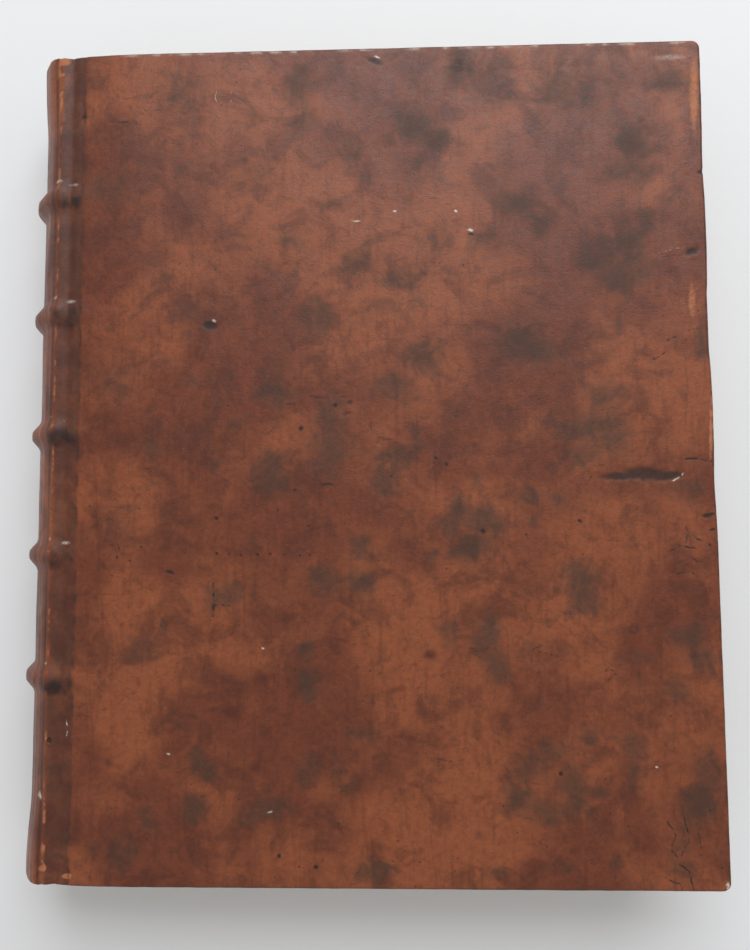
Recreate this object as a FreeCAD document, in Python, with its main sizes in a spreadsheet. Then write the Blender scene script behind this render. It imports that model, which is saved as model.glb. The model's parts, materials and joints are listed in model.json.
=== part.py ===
"""An antique book in full calf, lying on its back board with the spine to the left.

The text block is sewn on five raised cords and backed to a round spine with two shoulders. The cords are
laced into two pasteboard boards, and the whole is covered in calf. Each board turns on the text block
along the outer edge of its shoulder.

Frame: X runs from the spine to the fore edge, Y from the tail to the head, Z from the back board up to the
front board. The origin is the centre of the book's footprint on the surface that it rests on.
"""
import FreeCAD, Part
import math
import os
import re

import Sketcher
from FreeCAD import Placement, Rotation, Vector

DOCUMENT = FreeCAD.newDocument("AntiqueBook")

# Driving dimensions in millimetres, apart from the two sweeps in degrees
SIZES = {
    "cover_height": 258.0,
    "cover_width": 199.0,
    "corner_radius": 2.6,
    "board_thickness": 2.7,
    "cover_leather": 0.9,
    "turn_in_width": 12.0,
    "turn_in_thickness": 0.4,
    "endpaper": 0.25,
    "board_gap": 0.3,
    "text_thickness": 26.7,
    "head_square": 3.5,
    "fore_square": 4.0,
    "fore_hollow": 6.5,
    "spine_bulge": 13.5,
    "shoulder_reach": 3.5,
    "shoulder_drop": 1.0,
    "joint_drop": 1.2,
    "joint_slope": 20.0,
    "spine_leather": 1.1,
    "spine_lining": 0.5,
    "headcap_lip": 1.0,
    "headcap_depth": 3.2,
    "endband_core": 2.4,
    "cord_diameter": 3.8,
    "cord_bite": 0.2,
    "cord_sweep": 170.0,
    "band_flank": 2.0,
    "crest_drop": 0.9,
    "crest_inset": 1.5,
    "first_band": 46.4,
    "band_pitch": 37.85,
    "slip_reach": 8.0,
    "slip_return": 8.0,
    "slip_width": 5.0,
    "slip_thickness": 1.0,
    "slip_hump": 0.5,
    "lump_width": 8.2,
    "lump_inset": 0.4,
}

BANDS = 5

# What follows from the driving dimensions, each a formula on the names above and on earlier names here
WORKED = {
    "half_height": "cover_height / 2",
    "text_floor": "cover_leather + board_thickness + 2 * endpaper + board_gap",
    "text_top": "text_floor + text_thickness",
    "book_thickness": "text_top + text_floor",
    "middle": "book_thickness / 2",
    "text_half": "half_height - head_square",
    "board_inner": "book_thickness - cover_leather - board_thickness",
    "band_rise": "cord_diameter - cord_bite - spine_lining",
    "spine_reach": "spine_bulge + band_rise",
    "hinge_x": "spine_reach / 2 - cover_width / 2",
    "fore_x": "hinge_x + cover_width",
    "text_fore_x": "fore_x - fore_square",
    "cover_edge_x": "hinge_x + board_gap / 2",
    "board_edge_x": "cover_edge_x + endpaper",
    "leaf_edge_x": "hinge_x - board_gap / 2",
    "shoulder_x": "leaf_edge_x - endpaper",
    "hinge_z": "book_thickness - joint_drop",
    "slope_end_x": "hinge_x + joint_slope",
    "cover_edge_z": "hinge_z + joint_drop * (cover_edge_x - hinge_x) / joint_slope",
    "board_edge_z": "hinge_z - cover_leather + joint_drop * (board_edge_x - hinge_x) / joint_slope",
    "shoulder_top": "hinge_z - spine_leather",
    "ridge_rise": "middle - shoulder_drop",
    "ridge_run": "spine_bulge - shoulder_reach",
    "leather_radius": "(ridge_rise * ridge_rise + ridge_run * ridge_run) / (2 * ridge_run)",
    "arc_x": "hinge_x - spine_bulge + leather_radius",
    "lining_radius": "leather_radius - spine_leather",
    "text_radius": "lining_radius - spine_lining",
    "ridge_cosine": "(leather_radius - ridge_run) / leather_radius",
    "ridge_sine": "ridge_rise / leather_radius",
    "spine_sweep": "2 * asin(ridge_sine) / 1deg",
    "crest_rise": "middle - crest_drop",
    "crest_run": "spine_reach - crest_inset",
    "crest_radius": "(crest_rise * crest_rise + crest_run * crest_run) / (2 * crest_run)",
    "crest_x": "hinge_x - spine_reach + crest_radius",
    "cord_radius": "cord_diameter / 2",
    "cord_ring": "crest_radius - spine_leather - cord_radius",
    "surface_rise": "spine_lining + spine_leather + cord_bite - cord_radius",
    "crest_size": "cord_radius + spine_leather",
    "band_spread": "sqrt(pow(crest_size + band_flank; 2) - pow(band_flank + surface_rise; 2))",
    "crest_share": "crest_size / (crest_size + band_flank)",
    "lump_radius": "(lump_width * lump_width / 4 + slip_hump * slip_hump) / (2 * slip_hump)",
    "hollow_radius": "(text_thickness * text_thickness / 4 + fore_hollow * fore_hollow) / (2 * fore_hollow)",
}


def fill_sheet(name, cells):
    """Make a spreadsheet with one aliased cell for each entry of cells."""
    sheet = DOCUMENT.addObject("Spreadsheet::Sheet", name)
    for row, (alias, content) in enumerate(cells.items(), start=1):
        sheet.set(f"A{row}", alias.replace("_", " "))
        sheet.set(f"B{row}", content)
        sheet.setAlias(f"B{row}", alias)
    DOCUMENT.recompute()
    return sheet


def linked(formula):
    """Give a formula with each size's name written as a reference to its sheet."""
    def reference(match):
        word = match.group(0)
        if word in SIZES:
            return f"Sizes.{word}"
        if word in WORKED:
            return f"Worked.{word}"
        return word
    return re.sub(r"[a-z][a-z_]*", reference, formula)


SHEET = fill_sheet("Sizes", {alias: str(value) for alias, value in SIZES.items()})
fill_sheet("Worked", {alias: "=" + linked(formula) for alias, formula in WORKED.items()})


def value(formula):
    """Work out a formula on the sheets' names as a number."""
    result = SHEET.evalExpression(linked(formula))
    return float(getattr(result, "Value", result))


def bind(feature, **formulas):
    """Tie a feature's properties to formulas on the sheets' names."""
    for name, formula in formulas.items():
        feature.setExpression(name.replace("__", "."), linked(formula))


SECTION = Rotation(Vector(1, 0, 0), 90)
PLAN = Rotation()


def pin(sketch, geometry, position, across, along):
    """Hold one point of a sketch at the two given formulas."""
    for kind, formula in (("DistanceX", across), ("DistanceY", along)):
        index = sketch.addConstraint(Sketcher.Constraint(kind, -1, 1, geometry, position, value(formula)))
        sketch.setExpression(f"Constraints[{index}]", linked(formula))


def draw(name, turn, corners, **place):
    """Draw a closed outline of straight edges and arcs.

    Each corner is a pair of formulas, or a pair with an arc to the next corner: the arc's radius and the
    side, left or right of the way to the next corner, on which it bulges. turn is SECTION for a sketch of
    X and Z, or PLAN for one of X and Y.
    """
    sketch = DOCUMENT.addObject("Sketcher::SketchObject", name + "_outline")
    sketch.Placement = Placement(Vector(), turn)
    bind(sketch, **place)
    points = [Vector(value(corner[0]), value(corner[1])) for corner in corners]
    ends = []
    for index, corner in enumerate(corners):
        start, stop = points[index], points[(index + 1) % len(points)]
        if len(corner) == 2:
            ends.append((sketch.addGeometry(Part.LineSegment(start, stop)), 1, 2))
            continue
        radius, side = value(corner[2]), corner[3]
        half = (stop - start) * 0.5
        left = Vector(-half.y, half.x).normalize()
        toward = left if side == "right" else left * -1
        centre = start + half + toward * math.sqrt(max(radius ** 2 - half.Length ** 2, 0.0))
        first, last = (start, stop) if side == "right" else (stop, start)
        angles = [math.atan2(point.y - centre.y, point.x - centre.x) for point in (first, last)]
        arc = Part.ArcOfCircle(Part.Circle(centre, Vector(0, 0, 1), radius), *angles)
        number = sketch.addGeometry(arc)
        ends.append((number, 1, 2) if side == "right" else (number, 2, 1))
    for (earlier, _, tail), (later, head, _) in zip(ends, ends[1:] + ends[:1]):
        sketch.addConstraint(Sketcher.Constraint("Coincident", earlier, tail, later, head))
    for corner, (geometry, head, _) in zip(corners, ends):
        pin(sketch, geometry, head, corner[0], corner[1])
        if len(corner) == 4:
            index = sketch.addConstraint(Sketcher.Constraint("Radius", geometry, value(corner[2])))
            sketch.setExpression(f"Constraints[{index}]", linked(corner[2]))
    return sketch


def extrude(name, sketch, length):
    """Extrude a sketch by a formula, half to each side of its plane."""
    solid = DOCUMENT.addObject("Part::Extrusion", name)
    solid.Base = sketch
    solid.DirMode = "Normal"
    solid.Solid = True
    solid.Symmetric = True
    bind(solid, LengthFwd=length)
    return solid


def revolve(name, sketch, axis_x, sweep):
    """Turn a plan sketch about the line along Y at the book's middle height, half of the sweep each way."""
    ring = DOCUMENT.addObject("Part::Revolution", name)
    ring.Source = sketch
    ring.Axis = Vector(0, 1, 0)
    ring.Solid = True
    ring.Symmetric = True
    bind(ring, Base__x=axis_x, Base__z="middle", Angle=sweep)
    return ring


def block(name, size, corner):
    """Make a box of three formulas, with its lowest corner at three formulas."""
    box = DOCUMENT.addObject("Part::Box", name)
    bind(box, Length=size[0], Width=size[1], Height=size[2])
    bind(box, Placement__Base__x=corner[0], Placement__Base__y=corner[1], Placement__Base__z=corner[2])
    return box


def join(name, *shapes):
    """Fuse shapes into one."""
    fusion = DOCUMENT.addObject("Part::MultiFuse", name)
    fusion.Shapes = list(shapes)
    fusion.Refine = True
    return fusion


def shared(name, *shapes):
    """Keep what the shapes have in common."""
    common = DOCUMENT.addObject("Part::MultiCommon", name)
    common.Shapes = list(shapes)
    return common


def cut(name, base, tool):
    """Take one shape out of another."""
    result = DOCUMENT.addObject("Part::Cut", name)
    result.Base = base
    result.Tool = tool
    result.Refine = True
    return result


def across(name, source):
    """Repeat a piece of the front cover as its twin on the back cover."""
    twin = DOCUMENT.addObject("Part::Mirroring", name)
    twin.Source = source
    twin.Normal = Vector(0, 0, 1)
    bind(twin, Base__z="middle")
    return twin


NODES = {}


def keep(name, piece):
    """Take a finished piece as the sub-part of that name."""
    piece.Label = name
    NODES[name] = piece
    return piece


def band_y(number):
    """Give the place of a band along the spine, the first nearest to the head."""
    return f"half_height - first_band - {number - 1} * band_pitch"


def round_ring(name, centre_x, centre_y, radius, axis_x, sweep):
    """Turn a circle about the line along Y at the book's middle height."""
    sketch = DOCUMENT.addObject("Sketcher::SketchObject", name + "_outline")
    bind(sketch, Placement__Base__z="middle")
    centre = Vector(value(centre_x), value(centre_y))
    circle = sketch.addGeometry(Part.Circle(centre, Vector(0, 0, 1), value(radius)))
    pin(sketch, circle, 3, centre_x, centre_y)
    index = sketch.addConstraint(Sketcher.Constraint("Radius", circle, value(radius)))
    sketch.setExpression(f"Constraints[{index}]", linked(radius))
    return revolve(name, sketch, axis_x, sweep)


# Sewing cords, each a round of hemp over the back, with an arc of its own that meets both shoulders
def sewing_cord(number):
    ring = round_ring(f"cord_{number}", "crest_x - cord_ring", band_y(number), "cord_radius", "crest_x", "cord_sweep")
    return keep(f"sewing_cord_{number}", ring)


CORDS = [sewing_cord(number) for number in range(1, BANDS + 1)]
ALL_CORDS = join("all_cords", *CORDS)


# Text block, with its round back, two shoulders and hollow fore edge
def text_block():
    section = draw("text_block", SECTION, [
        ("text_fore_x", "text_floor", "hollow_radius", "left"),
        ("text_fore_x", "text_top"),
        ("shoulder_x", "text_top"),
        ("shoulder_x", "shoulder_top"),
        ("arc_x - text_radius * ridge_cosine", "middle + text_radius * ridge_sine", "text_radius", "right"),
        ("arc_x - text_radius * ridge_cosine", "middle - text_radius * ridge_sine"),
        ("shoulder_x", "book_thickness - shoulder_top"),
        ("shoulder_x", "text_floor"),
    ])
    leaves = extrude("leaves", section, "2 * text_half")
    return keep("text_block", cut("sewn_leaves", leaves, ALL_CORDS))


# Flyleaf, which covers the text block's face and turns up the face of the shoulder
def front_flyleaf():
    section = draw("flyleaf", SECTION, [
        ("shoulder_x", "text_top"),
        ("text_fore_x", "text_top"),
        ("text_fore_x", "text_top + endpaper"),
        ("leaf_edge_x", "text_top + endpaper"),
        ("leaf_edge_x", "shoulder_top"),
        ("shoulder_x", "shoulder_top"),
    ])
    return keep("front_flyleaf", extrude("flyleaf", section, "2 * text_half"))


# Endbands, each a worked core that stands on the end of the text block along its round back
def endband(name, side):
    ring = round_ring(name + "_core", "arc_x - text_radius + endband_core / 2",
                      f"{side} * (text_half + endband_core / 2)", "endband_core / 2", "arc_x", "spine_sweep")
    return keep(name, ring)


# Spine linings, pasted to the back in the panels between the cords
def spine_lining(number):
    top = "text_half" if number == 1 else f"{band_y(number - 1)} - cord_radius"
    bottom = "-text_half" if number == BANDS + 1 else f"{band_y(number)} + cord_radius"
    panel = draw(f"lining_{number}", PLAN, [
        ("arc_x - lining_radius", bottom),
        ("arc_x - text_radius", bottom),
        ("arc_x - text_radius", top),
        ("arc_x - lining_radius", top),
    ], Placement__Base__z="middle")
    return keep(f"spine_lining_{number}", revolve(f"lining_{number}", panel, "arc_x", "spine_sweep"))


# Spine leather, tight to the back, raised over the cords and turned over the endbands as headcaps
def raised_band(number):
    """The leather over one cord: a round crest that runs into the panels through two hollow flanks."""
    cord_y = band_y(number)
    cord_x = "crest_x - cord_ring"
    shoulder = f"{cord_x} - (band_flank + surface_rise) * crest_share"
    sketch = draw(f"band_{number}", PLAN, [
        (f"{cord_x} + cord_radius", f"{cord_y} - band_spread"),
        (f"{cord_x} + cord_radius", f"{cord_y} + band_spread"),
        (f"{cord_x} - surface_rise", f"{cord_y} + band_spread", "band_flank", "left"),
        (shoulder, f"{cord_y} + band_spread * crest_share", "crest_size", "right"),
        (shoulder, f"{cord_y} - band_spread * crest_share", "band_flank", "left"),
        (f"{cord_x} - surface_rise", f"{cord_y} - band_spread"),
    ], Placement__Base__z="middle")
    return revolve(f"band_{number}", sketch, "crest_x", "cord_sweep")


def headcap(name, side):
    """The leather turned over one endband."""
    lip = draw(name, PLAN, [
        ("arc_x - leather_radius + spine_leather / 2", f"{side} * (half_height - headcap_lip)"),
        ("arc_x - lining_radius + headcap_depth", f"{side} * (half_height - headcap_lip)"),
        ("arc_x - lining_radius + headcap_depth", f"{side} * half_height"),
        ("arc_x - leather_radius + spine_leather / 2", f"{side} * half_height"),
    ], Placement__Base__z="middle")
    return revolve(name, lip, "arc_x", "spine_sweep")


def spine_leather():
    outside = draw("spine_outside", SECTION, [
        ("leaf_edge_x", "hinge_z"),
        ("hinge_x - shoulder_reach", "book_thickness - shoulder_drop", "leather_radius", "right"),
        ("hinge_x - shoulder_reach", "shoulder_drop"),
        ("leaf_edge_x", "joint_drop"),
    ])
    inside = draw("spine_inside", SECTION, [
        ("leaf_edge_x + joint_slope", "shoulder_top"),
        ("leaf_edge_x", "shoulder_top"),
        ("arc_x - lining_radius * ridge_cosine", "middle + lining_radius * ridge_sine", "lining_radius", "right"),
        ("arc_x - lining_radius * ridge_cosine", "middle - lining_radius * ridge_sine"),
        ("leaf_edge_x", "book_thickness - shoulder_top"),
        ("leaf_edge_x + joint_slope", "book_thickness - shoulder_top"),
    ])
    hide = extrude("spine_hide", outside, "cover_height")
    bands = [raised_band(number) for number in range(1, BANDS + 1)]
    raised = join("raised_hide", hide, *bands)
    core = extrude("spine_core", inside, "cover_height + joint_slope")
    shell = cut("spine_shell", raised, core)
    fitted = cut("fitted_shell", shell, ALL_CORDS)
    caps = [headcap("headcap", 1), headcap("tailcap", -1)]
    return keep("spine_leather", join("spine_cover", fitted, *caps))


# Cord slips, laced over the board's edge, down through a hole and along its inner face
def board_slope(distance):
    """Height of the board's outer face at a distance from the hinge line."""
    return f"(hinge_z - cover_leather + joint_drop * ({distance}) / joint_slope)"


def front_slip(number):
    start, far, near = "(board_gap / 2 + endpaper)", "slip_reach", "(slip_reach - slip_thickness)"
    section = draw(f"slip_{number}", SECTION, [
        (f"hinge_x + {start}", f"{board_slope(start)} + slip_hump"),
        (f"hinge_x + {start}", f"{board_slope(start)} + slip_hump - slip_thickness"),
        (f"hinge_x + {near}", f"{board_slope(near)} + slip_hump - slip_thickness"),
        (f"hinge_x + {near}", "board_inner"),
        (f"hinge_x + {far} + slip_return", "board_inner"),
        (f"hinge_x + {far} + slip_return", "board_inner + slip_thickness / 2"),
        (f"hinge_x + {far}", "board_inner + slip_thickness / 2"),
        (f"hinge_x + {far}", f"{board_slope(far)} + slip_hump"),
    ], Placement__Base__y=band_y(number))
    return keep(f"front_cord_slip_{number}", extrude(f"slip_{number}", section, "slip_width"))


SLIPS = [front_slip(number) for number in range(1, BANDS + 1)]
ALL_SLIPS = join("all_slips", *SLIPS)


# Turn-ins, the calf folded over three edges of the board and pressed flush into its inner face
def turn_ins():
    length = "cover_height - 2 * cover_leather"
    fore = block("fore_turn_in", ("turn_in_width", length, "turn_in_thickness"),
                 ("fore_x - cover_leather - turn_in_width", "cover_leather - half_height", "board_inner"))
    width = "fore_x - cover_leather - board_edge_x"
    size = (width, "turn_in_width", "turn_in_thickness")
    head = block("head_turn_in", size, ("board_edge_x", "half_height - cover_leather - turn_in_width", "board_inner"))
    tail = block("tail_turn_in", size, ("board_edge_x", "cover_leather - half_height", "board_inner"))
    return join("turn_ins", fore, head, tail)


def plan_of_cover(name, near_x, margin):
    """The cover's outline from above, round at the two outer corners, a margin inside its edges."""
    radius = f"(corner_radius - {margin})"
    far_x = f"(fore_x - {margin})"
    edge_y = f"(half_height - {margin})"
    return draw(name, PLAN, [
        (near_x, f"-{edge_y}"),
        (f"{far_x} - {radius}", f"-{edge_y}", radius, "right"),
        (far_x, f"{radius} - {edge_y}"),
        (far_x, f"{edge_y} - {radius}", radius, "right"),
        (f"{far_x} - {radius}", edge_y),
        (near_x, edge_y),
    ])


# Front board, bevelled on its outer face towards the joint and cut for the slips and turn-ins
def board_blank():
    section = draw("board_section", SECTION, [
        ("board_edge_x", "board_inner"),
        ("fore_x", "board_inner"),
        ("fore_x", "book_thickness - cover_leather"),
        ("slope_end_x", "book_thickness - cover_leather"),
        ("board_edge_x", "board_edge_z"),
    ])
    bar = extrude("board_bar", section, "cover_height")
    sheet = extrude("board_sheet", plan_of_cover("board_plan", "board_edge_x", "cover_leather"), "4 * book_thickness")
    return shared("board_blank", bar, sheet)


# Front leather, over the outer face and round three edges, with a low lump over each slip
def leather_blank():
    section = draw("leather_section", SECTION, [
        ("cover_edge_x", "board_inner"),
        ("fore_x", "board_inner"),
        ("fore_x", "book_thickness"),
        ("slope_end_x", "book_thickness"),
        ("cover_edge_x", "cover_edge_z"),
    ])
    bar = extrude("leather_bar", section, "cover_height")
    hide = extrude("leather_hide", plan_of_cover("leather_plan", "cover_edge_x", "0"), "4 * book_thickness")
    return shared("leather_blank", bar, hide)


def slip_lumps():
    """The low round lumps of leather over the slips."""
    near = "(board_gap / 2 + endpaper)"
    middle = f"({near} + lump_inset + lump_width / 2)"
    far = f"({near} + 2 * lump_inset + lump_width)"
    domes = []
    for number in range(1, BANDS + 1):
        dome = DOCUMENT.addObject("Part::Sphere", f"dome_{number}")
        dome.Placement = Placement(Vector(), SECTION)
        bind(dome, Radius="lump_radius", Placement__Base__x=f"hinge_x + {middle}",
             Placement__Base__y=band_y(number),
             Placement__Base__z=f"{board_slope(middle)} + cover_leather + slip_hump - lump_radius")
        domes.append(dome)
    band = draw("lump_section", SECTION, [
        (f"hinge_x + {near}", f"{board_slope(near)} + cover_leather / 2"),
        (f"hinge_x + {far}", f"{board_slope(far)} + cover_leather / 2"),
        (f"hinge_x + {far}", f"{board_slope(far)} + cover_leather + slip_hump"),
        (f"hinge_x + {near}", f"{board_slope(near)} + cover_leather + slip_hump"),
    ])
    return shared("lumps", join("domes", *domes), extrude("lump_band", band, "cover_height"))


def front_cover():
    folded = turn_ins()
    blank = board_blank()
    joint_edge = block("joint_edge", ("endpaper", "cover_height - 2 * cover_leather",
                                      "board_edge_z - board_inner"),
                       ("cover_edge_x", "cover_leather - half_height", "board_inner"))
    hollow = join("board_space", blank, joint_edge)
    skin = cut("leather_skin", leather_blank(), hollow)
    folded_over = shared("folded_over", folded, blank)
    whole = join("lumped_skin", skin, folded_over, slip_lumps())
    keep("front_cover_leather", cut("front_leather", whole, ALL_SLIPS))
    keep("front_board", cut("board", blank, join("board_tools", folded, ALL_SLIPS)))


# Front pastedown, on the board's inner face and over its edge in the joint
def front_pastedown():
    section = draw("pastedown", SECTION, [
        ("cover_edge_x", "board_inner - endpaper"),
        ("text_fore_x", "board_inner - endpaper"),
        ("text_fore_x", "board_inner"),
        ("board_edge_x", "board_inner"),
        ("board_edge_x", "board_edge_z"),
        ("cover_edge_x", "board_edge_z"),
    ])
    return keep("front_pastedown", extrude("pastedown", section, "2 * text_half"))


text_block()
front_flyleaf()
endband("head_endband", 1)
endband("tail_endband", -1)
for panel_number in range(1, BANDS + 2):
    spine_lining(panel_number)
spine_leather()
front_cover()
front_pastedown()
for front_name in [name for name in NODES if name.startswith("front_")]:
    back_name = front_name.replace("front_", "back_")
    keep(back_name, across(back_name, NODES[front_name]))

DOCUMENT.recompute()

for feature in DOCUMENT.Objects:
    if "Invalid" in feature.State or "Error" in feature.State:
        raise RuntimeError(f"{feature.Name} failed: {feature.State}")

os.makedirs("parts", exist_ok=True)
for node, piece in NODES.items():
    shape = piece.Shape
    if shape.isNull() or not shape.isValid():
        raise RuntimeError(f"{node} has no valid shape")
    if len(shape.Solids) != 1:
        raise RuntimeError(f"{node} has {len(shape.Solids)} solids")
    print(f"{node}: {shape.Volume:.1f} mm3, {shape.BoundBox}")
for node, piece in NODES.items():
    piece.Shape.exportStep(f"parts/{node}.step")
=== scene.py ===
"""The antique calf book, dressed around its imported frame: skin, paper, thread, floor, lamp and camera."""

import json
import logging
import math
from dataclasses import dataclass
from enum import Enum

import bmesh
import bpy
import numpy as np
from mathutils import Euler, Matrix, Vector, noise


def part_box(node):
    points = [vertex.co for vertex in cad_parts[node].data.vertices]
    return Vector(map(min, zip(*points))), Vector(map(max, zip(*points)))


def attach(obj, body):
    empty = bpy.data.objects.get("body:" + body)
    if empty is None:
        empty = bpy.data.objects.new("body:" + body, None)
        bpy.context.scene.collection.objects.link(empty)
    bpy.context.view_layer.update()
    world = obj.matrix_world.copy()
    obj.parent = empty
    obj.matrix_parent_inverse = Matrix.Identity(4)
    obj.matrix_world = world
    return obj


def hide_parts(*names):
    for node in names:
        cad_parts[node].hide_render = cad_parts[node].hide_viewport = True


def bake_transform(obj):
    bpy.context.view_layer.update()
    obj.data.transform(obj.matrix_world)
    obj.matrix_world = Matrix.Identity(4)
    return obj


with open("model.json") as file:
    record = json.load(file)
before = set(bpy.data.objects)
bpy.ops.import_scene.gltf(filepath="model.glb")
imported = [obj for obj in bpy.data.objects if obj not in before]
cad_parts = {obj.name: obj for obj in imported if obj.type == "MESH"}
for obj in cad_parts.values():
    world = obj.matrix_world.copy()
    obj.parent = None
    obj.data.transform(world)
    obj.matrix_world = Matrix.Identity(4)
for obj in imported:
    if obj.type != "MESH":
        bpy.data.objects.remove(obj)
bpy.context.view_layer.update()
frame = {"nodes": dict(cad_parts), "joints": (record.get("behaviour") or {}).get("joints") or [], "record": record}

logging.basicConfig(level=logging.INFO, format="%(message)s")
log = logging.getLogger("book")

MM = 0.001
PHOTO_WIDTH = 750
PHOTO_HEIGHT = 950

Colour = tuple[float, float, float, float]


def srgb(red: int, green: int, blue: int) -> Colour:
    """A colour as a picture shows it, in the linear light that shaders use.

    Args:
        red: Red from 0 to 255.
        green: Green from 0 to 255.
        blue: Blue from 0 to 255.

    Returns:
        The linear colour with an alpha of 1.
    """
    linear = []
    for part in (red, green, blue):
        share = part / 255
        linear.append(share / 12.92 if share <= 0.04045 else ((share + 0.055) / 1.055) ** 2.4)
    return (linear[0], linear[1], linear[2], 1.0)


class Side(Enum):
    """One of the book's two covers."""

    FRONT = "front"
    BACK = "back"


class Tone(Enum):
    """What a mark does to the calf's colour."""

    MOTTLE = "mottle"
    # DARK holds dark marks and also painted shade.
    DARK = "dark"
    BARE = "bare"
    # PALE holds pale scratches and also painted highlights and a painted reflection.
    PALE = "pale"
    RED = "red"


@dataclass(frozen=True)
class Spot:
    """A soft-edged blotch, placed in the photograph's pixels."""

    across: float
    down: float
    wide: float
    tall: float
    strength: float = 1.0
    tilt: float = 0.0
    depth: float = 0.0
    core: float = 0.1
    ring: float = 0.0
    tone: Tone = Tone.MOTTLE

    @property
    def spread(self) -> float:
        """How far the spot's soft rim reaches, as a share of its size."""
        return 1.25 if self.tone is Tone.MOTTLE else 1.0


def spots_of(tone: Tone, *rows: tuple[float, ...]) -> list[Spot]:
    """Makes spots of one tone.

    Args:
        tone: The tone.
        rows: What each spot is given, in the order of its fields.

    Returns:
        The spots.
    """
    return [Spot(*row, tone=tone) for row in rows]


@dataclass(frozen=True)
class Scratch:
    """A line of one or more straight runs, placed in the photograph's pixels."""

    route: tuple[tuple[float, float], ...]
    width: float
    strength: float = 1.0
    tone: Tone = Tone.DARK
    depth: float = 0.0


def smooth_step(value: np.ndarray, low: float, high: float) -> np.ndarray:
    """0 below low, 1 above high and a smooth rise between them.

    Args:
        value: The numbers to map.
        low: Where the rise starts.
        high: Where it ends.

    Returns:
        The share for each number.
    """
    share = np.clip((value - low) / (high - low), 0.0, 1.0)
    return share * share * (3 - 2 * share)


def hump(value: np.ndarray, middle: float | np.ndarray, width: float) -> np.ndarray:
    """1 at the middle and a smooth fall to 0 on both sides of it.

    Args:
        value: The numbers to map.
        middle: Where the hump stands.
        width: How far from there it has fallen to about a third.

    Returns:
        The share for each number.
    """
    return np.exp(-(((value - middle) / width) ** 2))


def noise_at(points: np.ndarray, size: float, shift: float = 0.0) -> np.ndarray:
    """Smooth noise from about -1 to 1 at each point.

    Args:
        points: Places in millimetres, one row each.
        size: The size of the noise's lumps in millimetres.
        shift: Moves the pattern, so that two calls differ.

    Returns:
        One number for each point.
    """
    scaled = points / size + shift
    return np.array([noise.noise(Vector(place)) for place in scaled])


@dataclass(frozen=True)
class BookFrame:
    """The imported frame's own sizes in millimetres."""

    joint_x: float
    front_joint_z: float
    back_joint_z: float
    cover_low: Vector
    cover_high: Vector
    spine_low: Vector
    block_low: Vector
    block_high: Vector
    band_y: tuple[float, ...]

    @classmethod
    def read(cls) -> "BookFrame":
        """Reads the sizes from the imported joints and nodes.

        Returns:
            The frame's sizes.
        """
        joints = {joint["name"]: joint for joint in frame["joints"]}
        cover_low, cover_high = (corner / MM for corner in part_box("front_cover_leather"))
        spine_low, _ = (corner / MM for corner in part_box("spine_leather"))
        block_low, block_high = (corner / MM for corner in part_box("text_block"))
        cords = [node for node in sorted(frame["nodes"]) if node.startswith("sewing_cord_")]
        middles = []
        for cord in cords:
            low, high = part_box(cord)
            middles.append((low.y + high.y) / 2 / MM)
        return cls(
            joint_x=joints["front_joint"]["pos_m"][0] / MM,
            front_joint_z=joints["front_joint"]["pos_m"][2] / MM,
            back_joint_z=joints["back_joint"]["pos_m"][2] / MM,
            cover_low=cover_low,
            cover_high=cover_high,
            spine_low=spine_low,
            block_low=block_low,
            block_high=block_high,
            band_y=tuple(middles),
        )

    @property
    def middle_z(self) -> float:
        """Half the book's thickness."""
        return self.cover_high.z / 2


@dataclass(frozen=True)
class PhotoCamera:
    """The camera that took the photograph, and where it puts each point of the book."""

    place: tuple[float, float, float] = (11.6, -23.4, 263.2)
    turn_degrees: tuple[float, float, float] = (4.08, 1.66, -0.35)
    focal_pixels: float = 751.0
    sensor: float = 36.0

    @property
    def rotation(self) -> Euler:
        """The camera's turn."""
        return Euler([math.radians(angle) for angle in self.turn_degrees], "XYZ")

    def project(self, points: np.ndarray) -> np.ndarray:
        """Where the photograph shows each point.

        Args:
            points: Places on the book in millimetres, one row each.

        Returns:
            Pixels across and down, one row each.
        """
        turn = np.array(self.rotation.to_matrix())
        seen = (points - np.array(self.place)) @ turn
        depth = -seen[:, 2]
        across = PHOTO_WIDTH / 2 + self.focal_pixels * seen[:, 0] / depth
        down = PHOTO_HEIGHT / 2 - self.focal_pixels * seen[:, 1] / depth
        return np.stack([across, down], axis=1)

    def build(self) -> bpy.types.Object:
        """Makes the camera and gives it to the scene.

        Returns:
            The camera's object.
        """
        data = bpy.data.cameras.new("photo_camera")
        data.sensor_width = self.sensor
        data.lens = self.focal_pixels * self.sensor / PHOTO_HEIGHT
        data.clip_start = 0.01
        camera = bpy.data.objects.new("photo_camera", data)
        camera.matrix_world = Matrix.LocRotScale(Vector(self.place) * MM, self.rotation, None)
        bpy.context.scene.collection.objects.link(camera)
        bpy.context.scene.camera = camera
        return camera


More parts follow.
